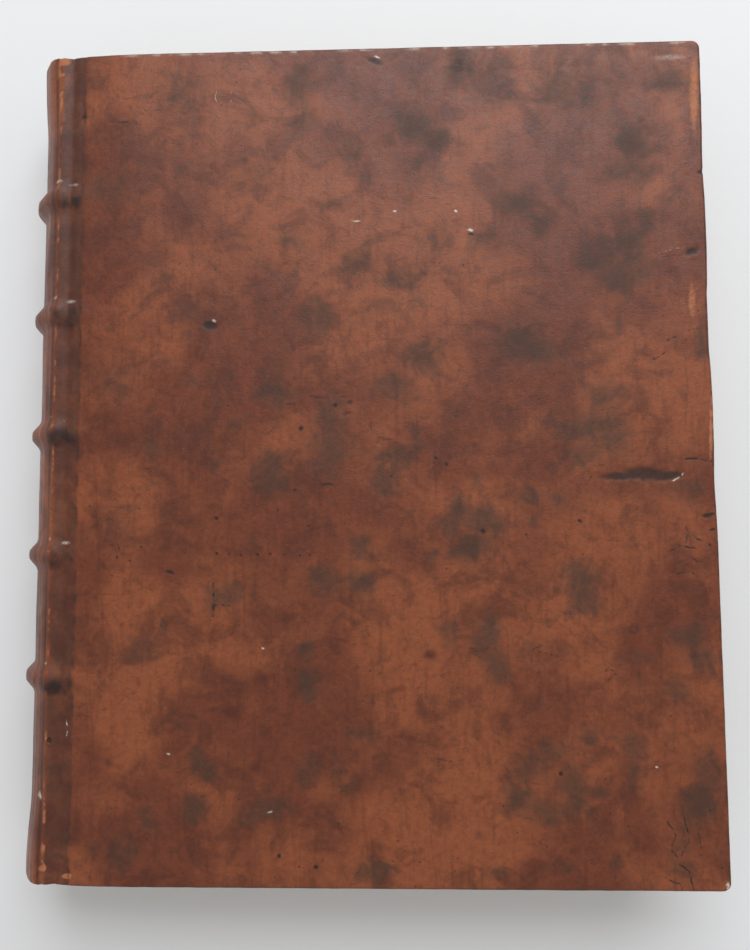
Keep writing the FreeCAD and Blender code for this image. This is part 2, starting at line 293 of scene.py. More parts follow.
class Field:
    """A socket of a material, with arithmetic that adds Math nodes."""

    def __init__(self, tree: "ShaderTree", socket: bpy.types.NodeSocket) -> None:
        """Wraps a socket.

        Args:
            tree: The tree that the socket is in.
            socket: The output socket.
        """
        self.tree = tree
        self.socket = socket

    def _math(self, operation: str, first: object, second: object = 0.0) -> "Field":
        """One Math node of two numbers."""
        settings = {"operation": operation}
        return self.tree.field("ShaderNodeMath", settings, {0: first, 1: second})

    def __add__(self, other: object) -> "Field":
        """Sum."""
        return self._math("ADD", self, other)

    def __sub__(self, other: object) -> "Field":
        """Difference."""
        return self._math("SUBTRACT", self, other)

    def __rsub__(self, other: object) -> "Field":
        """Difference from a number."""
        return self._math("SUBTRACT", other, self)

    def __mul__(self, other: object) -> "Field":
        """Product."""
        return self._math("MULTIPLY", self, other)

    def __truediv__(self, other: object) -> "Field":
        """Quotient."""
        return self._math("DIVIDE", self, other)

    def __pow__(self, other: object) -> "Field":
        """Power."""
        return self._math("POWER", self, other)

    def __abs__(self) -> "Field":
        """Size without its sign."""
        return self._math("ABSOLUTE", self)

    __radd__ = __add__
    __rmul__ = __mul__

    def largest(self, other: object) -> "Field":
        """The larger of this and another."""
        return self._math("MAXIMUM", self, other)

    def wave(self) -> "Field":
        """The sine."""
        return self._math("SINE", self)

    def rise(self, low: float, high: float) -> "Field":
        """0 below low, 1 above high, smooth between.

        Args:
            low: Where the rise starts; above high it is a fall.
            high: Where it ends.

        Returns:
            The share as a field.
        """
        settings = {"interpolation_type": "SMOOTHSTEP"}
        sockets = {"Value": self, "From Min": low, "From Max": high}
        if low > high:
            sockets = {"Value": self, "From Min": high, "From Max": low, "To Min": 1.0, "To Max": 0.0}
        return self.tree.field("ShaderNodeMapRange", settings, sockets)


class ShaderTree:
    """The nodes of one material."""

    def __init__(self, tree: bpy.types.NodeTree) -> None:
        """Empties a node tree.

        Args:
            tree: The tree to fill.
        """
        self.tree = tree
        self.tree.nodes.clear()

    def node(
        self,
        kind: str,
        settings: dict[str, object] | None = None,
        sockets: dict[int | str, object] | None = None,
    ) -> bpy.types.Node:
        """Adds a node.

        Args:
            kind: The node's type.
            settings: Its properties, set first; "stops" holds a ramp's places and colours.
            sockets: Values or links of its inputs.

        Returns:
            The node.
        """
        made = self.tree.nodes.new(kind)
        for name, value in (settings or {}).items():
            if name == "stops":
                self._set_stops(made.color_ramp, value)
            else:
                setattr(made, name, value)
        for key, value in (sockets or {}).items():
            if isinstance(value, Field):
                self.tree.links.new(value.socket, made.inputs[key])
            elif isinstance(value, bpy.types.NodeSocket):
                self.tree.links.new(value, made.inputs[key])
            else:
                made.inputs[key].default_value = value
        return made

    def field(
        self,
        kind: str,
        settings: dict[str, object] | None = None,
        sockets: dict[int | str, object] | None = None,
        output: int | str = 0,
    ) -> Field:
        """Adds a node and wraps one of its outputs.

        Args:
            kind: The node's type.
            settings: Its properties.
            sockets: Values or links of its inputs.
            output: Which output to wrap.

        Returns:
            The output as a field.
        """
        return Field(self, self.node(kind, settings, sockets).outputs[output])

    def _set_stops(self, ramp: bpy.types.ColorRamp, stops: list[tuple[float, Colour]]) -> None:
        """Fills a colour ramp."""
        while len(ramp.elements) < len(stops):
            ramp.elements.new(0.5)
        for element, (place, colour) in zip(ramp.elements, stops):
            element.position = place
            element.color = colour

    def place_mm(self, stretch: tuple[float, float, float] = (1.0, 1.0, 1.0)) -> Field:
        """Object coordinates in millimetres.

        Args:
            stretch: A factor for each axis; a small one draws the pattern out along it.

        Returns:
            The vector.
        """
        coordinates = self.node("ShaderNodeTexCoord").outputs["Object"]
        factor = tuple(share / MM for share in stretch)
        sockets = {0: coordinates, 1: factor}
        return self.field("ShaderNodeVectorMath", {"operation": "MULTIPLY"}, sockets)

    def noise(
        self,
        place: Field,
        size: float,
        detail: float = 3.0,
        rough: float = 0.5,
        distortion: float = 0.0,
    ) -> Field:
        """Noise about 0.5.

        Args:
            place: The coordinates.
            size: The size of its lumps in millimetres.
            detail: How many finer layers it has.
            rough: How strong they are.
            distortion: How far it is pulled about.

        Returns:
            The noise as a field.
        """
        sockets = {
            "Vector": place,
            "Scale": 1 / size,
            "Detail": detail,
            "Roughness": rough,
            "Distortion": distortion,
        }
        return self.field("ShaderNodeTexNoise", {}, sockets, "Fac")

    def cells(self, place: Field, size: float, output: str = "Distance", feature: str = "F1") -> Field:
        """A pattern of cells.

        Args:
            place: The coordinates.
            size: The size of a cell in millimetres.
            output: Distance or Color.
            feature: Which distance it measures.

        Returns:
            The pattern as a field.
        """
        sockets = {"Vector": place, "Scale": 1 / size}
        return self.field("ShaderNodeTexVoronoi", {"feature": feature}, sockets, output)

    def attribute(self, name: str) -> Field:
        """A number kept on the mesh's vertices."""
        return self.field("ShaderNodeAttribute", {"attribute_name": name}, {}, "Fac")

    def mix(self, share: object, first: object, second: object, blend: str = "MIX") -> Field:
        """Mixes two colours.

        Args:
            share: How much of the second.
            first: The first colour.
            second: The second colour.
            blend: How they combine.

        Returns:
            The colour as a field.
        """
        settings = {"data_type": "RGBA", "blend_type": blend}
        return self.field("ShaderNodeMix", settings, {0: share, 6: first, 7: second}, 2)

    def bump(self, height: Field, distance: float, strength: float = 1.0) -> Field:
        """Bends the normal by a height.

        Args:
            height: The height from 0 to 1.
            distance: What a height of 1 stands for, in millimetres.
            strength: How much of it shows.

        Returns:
            The normal.
        """
        sockets = {"Height": height, "Distance": distance * MM, "Strength": strength}
        return self.field("ShaderNodeBump", {}, sockets, "Normal")


class Finish:
    """A material in the making."""

    def __init__(self, name: str) -> None:
        """Makes an empty material.

        Args:
            name: The material's name.
        """
        self.material = bpy.data.materials.new(name)
        self.material.use_nodes = True
        self.tree = ShaderTree(self.material.node_tree)

    def close(self, sockets: dict[str, object]) -> bpy.types.Material:
        """Ends the material in a Principled shader.

        Args:
            sockets: The shader's inputs.

        Returns:
            The material.
        """
        shader = self.tree.node("ShaderNodeBsdfPrincipled", {}, sockets)
        self.tree.node("ShaderNodeOutputMaterial", {}, {"Surface": shader.outputs[0]})
        return self.material


@dataclass(frozen=True)
class CalfFinish:
    """Old mottled calf: sprinkled stains, flecks, rubbed edges, pores and a dull polish, with painted shade in its
    dark tone and painted highlights in its pale tone.
    """

    base: Colour = srgb(105, 51, 30)
    light: Colour = srgb(135, 72, 42)
    deep: Colour = srgb(74, 33, 20)
    stain: Colour = srgb(62, 44, 33)
    # Dark marks, and also painted shade.
    dark: Colour = srgb(40, 25, 21)
    red: Colour = srgb(74, 30, 20)
    worn: Colour = srgb(166, 102, 66)
    # Pale scratches, and also painted highlights and a painted reflection.
    pale: Colour = srgb(214, 204, 190)
    gloss: float = 0.44

    def build(self) -> bpy.types.Material:
        """Makes the material.

        Returns:
            The calf.
        """
        finish = Finish("mottled_calf")
        tree = finish.tree
        place = tree.place_mm()
        mottle = tree.attribute("mottle")
        dark = tree.attribute("dark")
        bare = tree.attribute("bare")
        pale = tree.attribute("pale")
        red = tree.attribute("red")

        clouds = tree.noise(place, 44, 3, 0.55, 0.4)
        patches = tree.noise(place, 13, 5, 0.6, 0.7)
        blots = tree.noise(place, 4.6, 5, 0.64, 0.8)
        grit = tree.noise(place, 1.5, 5, 0.66)
        fine = tree.noise(place, 0.45, 3, 0.6)
        lengthwise = tree.noise(tree.place_mm((1.0, 0.1, 1.0)), 1.7, 4, 0.6, 0.3)
        crosswise = tree.noise(tree.place_mm((0.2, 1.0, 1.0)), 1.4, 4, 0.6, 0.9)

        colour = tree.mix(clouds.rise(0.4, 0.62), self.base, self.light)
        colour = tree.mix(patches.rise(0.46, 0.66) * 0.55, colour, self.deep)
        colour = tree.mix(blots.rise(0.5, 0.7) * 0.4, colour, self.deep)
        colour = tree.mix(lengthwise.rise(0.5, 0.72) * 0.3, colour, self.deep)
        colour = tree.mix(blots.rise(0.46, 0.3) * 0.25, colour, self.light)

        ragged = mottle + (patches - 0.5) * 0.9 + (blots - 0.5) * 0.9 + (grit - 0.5) * 0.3
        stain = ragged.rise(0.0, 1.0) * mottle.rise(0.0, 0.35)
        sprinkle = tree.noise(place, 8, 4, 0.6, 1.0).rise(0.58, 0.72) * 0.45
        stain = stain.largest(sprinkle)
        colour = tree.mix(stain * 0.7, colour, self.stain)

        cluster = tree.noise(place, 17, 3, 0.5, 0.5).rise(0.48, 0.62)
        flecks = tree.cells(tree.place_mm((0.75, 1.0, 1.0)), 2.6).rise(0.2, 0.08)
        colour = tree.mix(flecks * cluster * grit.rise(0.42, 0.6) * 0.8, colour, self.red)
        wisps = crosswise.rise(0.6, 0.7) * cluster
        colour = tree.mix(wisps * 0.5, colour, self.red)
        dots = tree.cells(place, 6.1).rise(0.075, 0.04) * blots.rise(0.44, 0.56)
        colour = tree.mix(dots * 0.8, colour, self.dark)

        colour = tree.mix((red * (0.45 + grit * 1.1)).rise(0.1, 0.9), colour, self.red)
        rubbed = (bare * (0.1 + grit * 1.1 + fine * 0.7)).rise(0.22, 0.6)
        colour = tree.mix(rubbed * 0.95, colour, self.worn)
        # Dark marks and painted shade, from the skin's dark tone.
        dark_marks_and_shade = (dark * (0.3 + grit * 1.2 + fine * 0.3)).rise(0.06, 0.8)
        colour = tree.mix(dark_marks_and_shade * 0.95, colour, self.dark)
        # Pale scratches, painted highlights and a painted reflection, from the skin's pale tone.
        pale_marks_and_sheen = (pale * (0.4 + fine * 1.2)).rise(0.15, 0.9)
        colour = tree.mix(pale_marks_and_sheen * 0.85, colour, self.pale)

        tint = tree.mix(grit.rise(0.32, 0.68), (0.88, 0.88, 0.88, 1), (1.1, 1.09, 1.08, 1))
        colour = tree.mix(1.0, colour, tint, "MULTIPLY")

        pores = tree.cells(place, 0.6).rise(0.0, 0.35)
        creases = abs(tree.noise(place, 5.5, 5, 0.62, 0.8) - 0.5).rise(0.0, 0.03)
        height = pores * 0.35 + fine * 0.5 + grit * 1.3 + creases * 0.3 + crosswise * 0.5
        normal = tree.bump(height, 0.12, 0.55)
        rough = self.gloss + (grit - 0.5) * 0.35 + (patches - 0.5) * 0.25
        rough = rough + rubbed * 0.15 + dark_marks_and_shade * 0.1 + mottle * 0.16
        return finish.close(
            {
                "Base Color": colour,
                "Roughness": rough,
                "Normal": normal,
                "Coat Weight": 0.05,
                "Coat Roughness": 0.3,
                "Specular IOR Level": 0.34,
            }
        )


@dataclass(frozen=True)
class PaperFinish:
    """Old rag paper, browner and dirtier towards its edges."""

    name: str
    clean: Colour
    aged: Colour
    laid: bool = False

    def build(self) -> bpy.types.Material:
        """Makes the material.

        Returns:
            The paper.
        """
        finish = Finish(self.name)
        tree = finish.tree
        place = tree.place_mm()
        clouds = tree.noise(place, 70, 4, 0.55, 0.2)
        grit = tree.noise(place, 0.9, 4, 0.6)
        fibres = tree.noise(tree.place_mm((1.0, 0.3, 1.0)), 3.0, 4, 0.6)
        foxing = tree.cells(place, 16.0).rise(0.16, 0.02) * clouds.rise(0.46, 0.6)
        specks = tree.cells(place, 7.0).rise(0.06, 0.02)
        colour = tree.mix(clouds.rise(0.36, 0.66) * 0.45, self.clean, self.aged)
        colour = tree.mix(fibres.rise(0.45, 0.7) * 0.2, colour, self.aged)
        colour = tree.mix(foxing * 0.35, colour, srgb(150, 106, 62))
        colour = tree.mix(specks * 0.5, colour, srgb(120, 84, 50))
        height = grit
        if self.laid:
            across = tree.field("ShaderNodeSeparateXYZ", {}, {0: place}, "Y")
            lines = (across * 5.2).wave()
            chain = tree.field("ShaderNodeSeparateXYZ", {}, {0: place}, "X")
            chains = (chain * 0.25).wave().rise(0.97, 1.0)
            height = grit * 0.5 + lines * 0.25 + chains * 0.3
            colour = tree.mix(chains * 0.18, colour, self.aged)
        normal = tree.bump(height, 0.04, 0.5)
        return finish.close({"Base Color": colour, "Roughness": 0.85, "Normal": normal})


@dataclass(frozen=True)
class FibreFinish:
    """A plain fibrous finish: pasteboard, lining, hemp."""

    name: str
    first: Colour
    second: Colour
    size: float
    stretch: tuple[float, float, float] = (1.0, 1.0, 1.0)

    def build(self) -> bpy.types.Material:
        """Makes the material.

        Returns:
            The fibrous finish.
        """
        finish = Finish(self.name)
        tree = finish.tree
        fibres = tree.noise(tree.place_mm(self.stretch), self.size, 5, 0.65, 0.6)
        colour = tree.mix(fibres.rise(0.35, 0.65), self.first, self.second)
        normal = tree.bump(fibres, 0.15, 0.7)
        return finish.close({"Base Color": colour, "Roughness": 0.9, "Normal": normal})


@dataclass(frozen=True)
class ThreadFinish:
    """Two colours of silk wound over a core, told apart by the winding's number."""

    first: Colour = srgb(176, 148, 106)
    second: Colour = srgb(112, 70, 46)

    def build(self) -> bpy.types.Material:
        """Makes the material.

        Returns:
            The thread.
        """
        finish = Finish("endband_thread")
        tree = finish.tree
        fibres = tree.noise(tree.place_mm(), 0.25, 4, 0.6)
        second = tree.attribute("second_thread")
        colour = tree.mix(second.rise(0.4, 0.6), self.first, self.second)
        colour = tree.mix(fibres.rise(0.3, 0.7) * 0.4, colour, srgb(70, 50, 36))
        normal = tree.bump(fibres, 0.05, 0.6)
        return finish.close({"Base Color": colour, "Roughness": 0.75, "Normal": normal})


def finish_piece(bm: bmesh.types.BMesh, name: str, smooth: bool = True) -> bpy.types.Object:
    """Turns a bmesh in millimetres into a piece in metres.

    Args:
        bm: The bmesh, which is freed.
        name: The piece's name.
        smooth: Whether its faces are shaded smooth.

    Returns:
        The piece's object.
    """
    bmesh.ops.scale(bm, vec=(MM, MM, MM), verts=bm.verts)
    for face in bm.faces:
        face.smooth = smooth
    mesh = bpy.data.meshes.new(name)
    bm.to_mesh(mesh)
    bm.free()
    piece = bpy.data.objects.new(name, mesh)
    bpy.context.scene.collection.objects.link(piece)
    return piece


def points_of(mesh: bpy.types.Mesh) -> np.ndarray:
    """The mesh's vertices in millimetres, one row each."""
    flat = np.zeros(len(mesh.vertices) * 3)
    mesh.vertices.foreach_get("co", flat)
    return flat.reshape(-1, 3) / MM


def put_points(mesh: bpy.types.Mesh, points: np.ndarray) -> None:
    """Moves the mesh's vertices to points in millimetres."""
    mesh.vertices.foreach_set("co", (points * MM).ravel())
    mesh.update()


def normals_of(mesh: bpy.types.Mesh) -> np.ndarray:
    """The mesh's vertex normals, one row each."""
    flat = np.zeros(len(mesh.vertices) * 3)
    mesh.vertex_normals.foreach_get("vector", flat)
    return flat.reshape(-1, 3)


def put_attribute(mesh: bpy.types.Mesh, name: str, values: np.ndarray) -> None:
    """Keeps one number a vertex on the mesh under a name."""
    layer = mesh.attributes.get(name) or mesh.attributes.new(name, "FLOAT", "POINT")
    layer.data.foreach_set("value", values.astype(np.float32))


def thicken(bm: bmesh.types.BMesh, thickness: float) -> None:
    """Makes an open sheet a closed skin, with its new wall on the inside.

    Args:
        bm: The bmesh, which holds nothing but the sheet.
        thickness: How far in the new wall lies.
    """
    bmesh.ops.recalc_face_normals(bm, faces=bm.faces)
    bm.normal_update()
    kept = bm.verts.layers.float_vector.new("sheet_normal")
    for vert in bm.verts:
        vert[kept] = vert.normal
    made = bmesh.ops.extrude_face_region(bm, geom=[*bm.faces])
    for item in made["geom"]:
        if isinstance(item, bmesh.types.BMVert):
            item.co -= item[kept] * thickness
    bm.verts.layers.float_vector.remove(kept)
    bmesh.ops.recalc_face_normals(bm, faces=bm.faces)


def cut_by_planes(
    bm: bmesh.types.BMesh,
    faces: list[bmesh.types.BMFace],
    axis: int,
    stations: list[float],
) -> list[bmesh.types.BMFace]:
    """Cuts faces by parallel planes, one after the other.

    Args:
        bm: The bmesh.
        faces: The faces to cut.
        axis: 0, 1 or 2, the axis that the planes stand across.
        stations: Where the planes lie on it.

    Returns:
        All the faces that are there now.
    """
    normal = [0.0, 0.0, 0.0]
    normal[axis] = 1.0
    left = list(faces)
    done = []
    for station in sorted(stations):
        origin = [station * part for part in normal]
        edges = {edge for face in left for edge in face.edges}
        verts = {vert for face in left for vert in face.verts}
        made = bmesh.ops.bisect_plane(
            bm, geom=[*left, *edges, *verts], dist=1e-4, plane_co=origin, plane_no=normal
        )
        pieces = [item for item in made["geom"] if isinstance(item, bmesh.types.BMFace)]
        left = []
        for face in pieces:
            behind = face.calc_center_median()[axis] < station
            (done if behind else left).append(face)
    return done + left


@dataclass
class SkinSection:
    """The calf's line across the book, from the cover over the joint's ridge and round the spine."""

    frame: BookFrame
    slope_width: float = 20.0
    slope_drop: float = 1.2
    crease_depth: float = 0.3
    crease_width: float = 1.3
    step_depth: float = 0.22
    step_place: float = 4.3
    ridge_reach: float = 3.5
    ridge_height: float = 0.2
    spine_radius: float = 19.03

    @property
    def ridge(self) -> Vector:
        """The front shoulder's ridge, where the joint ends and the spine begins."""
        level = self.frame.front_joint_z + self.ridge_height
        return Vector((self.frame.joint_x - self.ridge_reach, 0, level))

    @property
    def spine_centre(self) -> Vector:
        """The middle of the round that the spine follows."""
        half = self.ridge.z - self.frame.middle_z
        along = math.sqrt(self.spine_radius**2 - half**2)
        return Vector((self.ridge.x + along, 0, self.frame.middle_z))

    @property
    def ridge_angle(self) -> float:
        """How far round from the spine's middle the ridge lies, in radians."""
        return math.atan2(self.ridge.z - self.frame.middle_z, self.spine_centre.x - self.ridge.x)

    def height(self, x: np.ndarray) -> np.ndarray:
        """How high the front cover's skin lies at each place across the book.

        Args:
            x: Places in millimetres, from the ridge to the fore edge.

        Returns:
            Heights in millimetres.
        """
        top = self.frame.cover_high.z
        joint = self.frame.joint_x
        slope = np.clip((joint + self.slope_width - x) / self.slope_width, 0, 1)
        eased = slope**1.35
        flat = top - self.slope_drop * eased
        ridge_share = smooth_step(-x, -joint + 0.6, -self.ridge.x)
        level = flat * (1 - ridge_share) + self.ridge.z * ridge_share
        crease = self.crease_depth * hump(x, joint + 0.2, self.crease_width)
        step_x = joint + self.step_place
        step = self.step_depth * smooth_step(-x, -(step_x + 0.6), -(step_x - 0.6))
        return level - crease - step * (1 - ridge_share)


@dataclass
class CoverCalf:
    """The calf over one board: its face, rounded edges and turn-ins."""

    frame: BookFrame
    section: SkinSection
    cell: float = 1.25
    fine_cell: float = 0.6
    fine_until: float = 9.0
    corner: float = 2.6
    edge_round: float = 1.0
    inner_round: float = 0.5
    turn_in: float = 12.0
    thickness: float = 0.6

    @property
    def joint_edge(self) -> float:
        """Where the cover's skin meets the joint's."""
        return self.frame.cover_low.x

    @property
    def inner_z(self) -> float:
        """The turn-ins' face."""
        return self.frame.cover_low.z

    def envelope(self) -> bmesh.types.BMesh:
        """The cover's outer skin with few faces: a block with its rims rounded, open inside the turn-ins.

        Returns:
            The bmesh, open at the joint and inside the turn-ins.
        """
        low = Vector((self.joint_edge, self.frame.cover_low.y, self.inner_z))
        high = self.frame.cover_high
        bm = bmesh.new()
        bmesh.ops.create_cube(bm, size=1.0)
        bmesh.ops.scale(bm, vec=high - low, verts=bm.verts)
        bmesh.ops.translate(bm, vec=(high + low) / 2, verts=bm.verts)
        joint_face = min(bm.faces, key=lambda face: face.calc_center_median().x)
        bmesh.ops.delete(bm, geom=[joint_face], context="FACES_ONLY")
        corners = [edge for edge in bm.edges if self._stands(edge) and edge.verts[0].co.x > 0]
        self._bevel(bm, corners, self.corner, 6)
        self._bevel(bm, self._rim(bm, high.z), self.edge_round, 4)
        self._bevel(bm, self._rim(bm, low.z), self.inner_round, 2)
        inner = min(bm.faces, key=lambda face: face.calc_center_median().z)
        bmesh.ops.inset_region(
            bm, faces=[inner], thickness=self.turn_in, use_even_offset=True, use_boundary=False
        )
        inner = min(bm.faces, key=lambda face: (round(face.calc_center_median().z, 3), -face.calc_area()))
        bmesh.ops.delete(bm, geom=[inner], context="FACES")
        return bm

    def _stands(self, edge: bmesh.types.BMEdge) -> bool:
        """Whether an edge runs up and down."""
        first, second = edge.verts
        return abs(first.co.z - second.co.z) > 0.1

    def _rim(self, bm: bmesh.types.BMesh, level: float) -> list[bmesh.types.BMEdge]:
        """The edges of the flat face at a level, apart from the joint's."""
        found = []
        for edge in bm.edges:
            flat = all(abs(vert.co.z - level) < 1e-4 for vert in edge.verts)
            joint = all(abs(vert.co.x - self.joint_edge) < 1e-4 for vert in edge.verts)
            if flat and not joint:
                found.append(edge)
        return found

    def _bevel(
        self, bm: bmesh.types.BMesh, edges: list[bmesh.types.BMEdge], width: float, segments: int
    ) -> None:
        """Rounds edges."""
        bmesh.ops.bevel(
            bm,
            geom=edges,
            offset=width,
            offset_type="OFFSET",
            segments=segments,
            profile=0.5,
            affect="EDGES",
            material=-1,
        )

    def x_stations(self) -> list[float]:
        """Where the planes across the board's width lie: close together near the joint."""
        wide_start = self.joint_edge + self.fine_until
        fine = np.arange(self.joint_edge + self.fine_cell, wide_start, self.fine_cell)
        wide = np.arange(wide_start, self.frame.cover_high.x - self.edge_round, self.cell)
        return [*fine, *wide]

    def y_stations(self) -> list[float]:
        """Where the planes up the board's height lie."""
        reach = self.frame.cover_high.y - self.edge_round
        return list(np.linspace(-reach, reach, int(2 * reach / self.cell))[1:-1])

    def slope(self, points: np.ndarray) -> np.ndarray:
        """Thins the board towards the joint, as its outer face slopes down.

        Args:
            points: Places in millimetres on the block with an even thickness.

        Returns:
            The places on the sloping one.
        """
        on_cover = points[:, 0] >= self.joint_edge - 1e-3
        full = self.frame.cover_high.z - self.inner_z
        share = (self.section.height(points[:, 0]) - self.inner_z) / full
        sloped = self.inner_z + (points[:, 2] - self.inner_z) * share
        moved = points.copy()
        moved[:, 2] = np.where(on_cover, sloped, points[:, 2])
        return moved


@dataclass
class SpineSheet:
    """The calf over the joint and round the spine, with its ends rolled over the endbands."""

    frame: BookFrame
    section: SkinSection
    roll_radius: float = 1.0
    cap_depth: float = 3.0
    joint_steps: int = 7
    fine_sweep: float = math.radians(24)
    fine_steps: int = 15
    wide_steps: int = 30

    def add(self, bm: bmesh.types.BMesh, whole: bool) -> None:
        """Adds the sheet to the cover's bmesh, up to the ridge or round to the other ridge.

        Args:
            bm: The cover's bmesh.
            whole: Whether the sheet goes on round the spine.
        """
        section = self.section
        start_x = self.frame.cover_low.x
        reach = self.frame.cover_high.y - self.roll_radius
        first = bm.verts.new((start_x, -reach, float(section.height(np.array([start_x]))[0])))
        line = []
        last = first
        for x in np.linspace(start_x, section.ridge.x, self.joint_steps + 1)[1:]:
            made = bmesh.ops.extrude_vert_indiv(bm, verts=[last])
            last = made["verts"][0]
            last.co = (x, -reach, float(section.height(np.array([x]))[0]))
            line += made["edges"]
        sweep = 2 * section.ridge_angle
        turns = (
            (self.fine_sweep, self.fine_steps),
            (sweep - 2 * self.fine_sweep, self.wide_steps),
            (self.fine_sweep, self.fine_steps),
        )
        for angle, steps in turns if whole else ():
            known = set(bm.edges)
            made = bmesh.ops.spin(
                bm, geom=[last], cent=section.spine_centre, axis=(0, -1, 0), angle=angle, steps=steps
            )
            last = next(item for item in made["geom_last"] if isinstance(item, bmesh.types.BMVert))
            line += [edge for edge in bm.edges if edge not in known]
        made = bmesh.ops.extrude_edge_only(bm, edges=line)
        moved = [item for item in made["geom"] if isinstance(item, bmesh.types.BMVert)]
        bmesh.ops.translate(bm, vec=(0, 2 * reach, 0), verts=moved)
        head = [item for item in made["geom"] if isinstance(item, bmesh.types.BMEdge)]
        head = [edge for edge in head if all(vert in moved for vert in edge.verts)]
        self._roll(bm, head, 1.0)
        self._roll(bm, line, -1.0)

    def inward(self, place: Vector) -> Vector:
        """The way into the book from a place on the sheet."""
        if place.x > self.section.ridge.x and place.z > self.frame.middle_z:
            return Vector((0, 0, -1))
        way = self.section.spine_centre - Vector((place.x, 0, place.z))
        return way.normalized()

    def _roll(self, bm: bmesh.types.BMesh, edges: list[bmesh.types.BMEdge], way: float) -> None:
        """Rolls one end of the sheet over, round a quarter turn and then inwards.

        Args:
            bm: The bmesh.
            edges: The end's edges.
            way: 1 at the head, -1 at the tail.
        """
        radius = self.roll_radius
        reach = self.frame.cover_high.y - radius
        rows = []
        for degrees in (22.5, 45, 67.5, 90):
            angle = math.radians(degrees)
            rows.append((radius * (1 - math.cos(angle)), reach + radius * math.sin(angle)))
        for share, drop in ((0.6, 0.0), (0.85, 0.15), (1.0, 0.6)):
            rows.append((self.cap_depth * share, self.frame.cover_high.y - drop))
        bases = {vert: vert.co.copy() for edge in edges for vert in edge.verts}
        current = edges
        for depth, level in rows:
            made = bmesh.ops.extrude_edge_only(bm, edges=current)
            verts = [item for item in made["geom"] if isinstance(item, bmesh.types.BMVert)]
            edges_made = [item for item in made["geom"] if isinstance(item, bmesh.types.BMEdge)]
            fresh = set(verts)
            next_bases = {}
            for vert in verts:
                source = next(
                    edge.other_vert(vert) for edge in vert.link_edges if edge.other_vert(vert) in bases
                )
                base = bases[source]
                next_bases[vert] = base
                vert.co = base + self.inward(base) * depth
                vert.co.y = way * level
            bases = next_bases
            current = [edge for edge in edges_made if edge.verts[0] in fresh and edge.verts[1] in fresh]


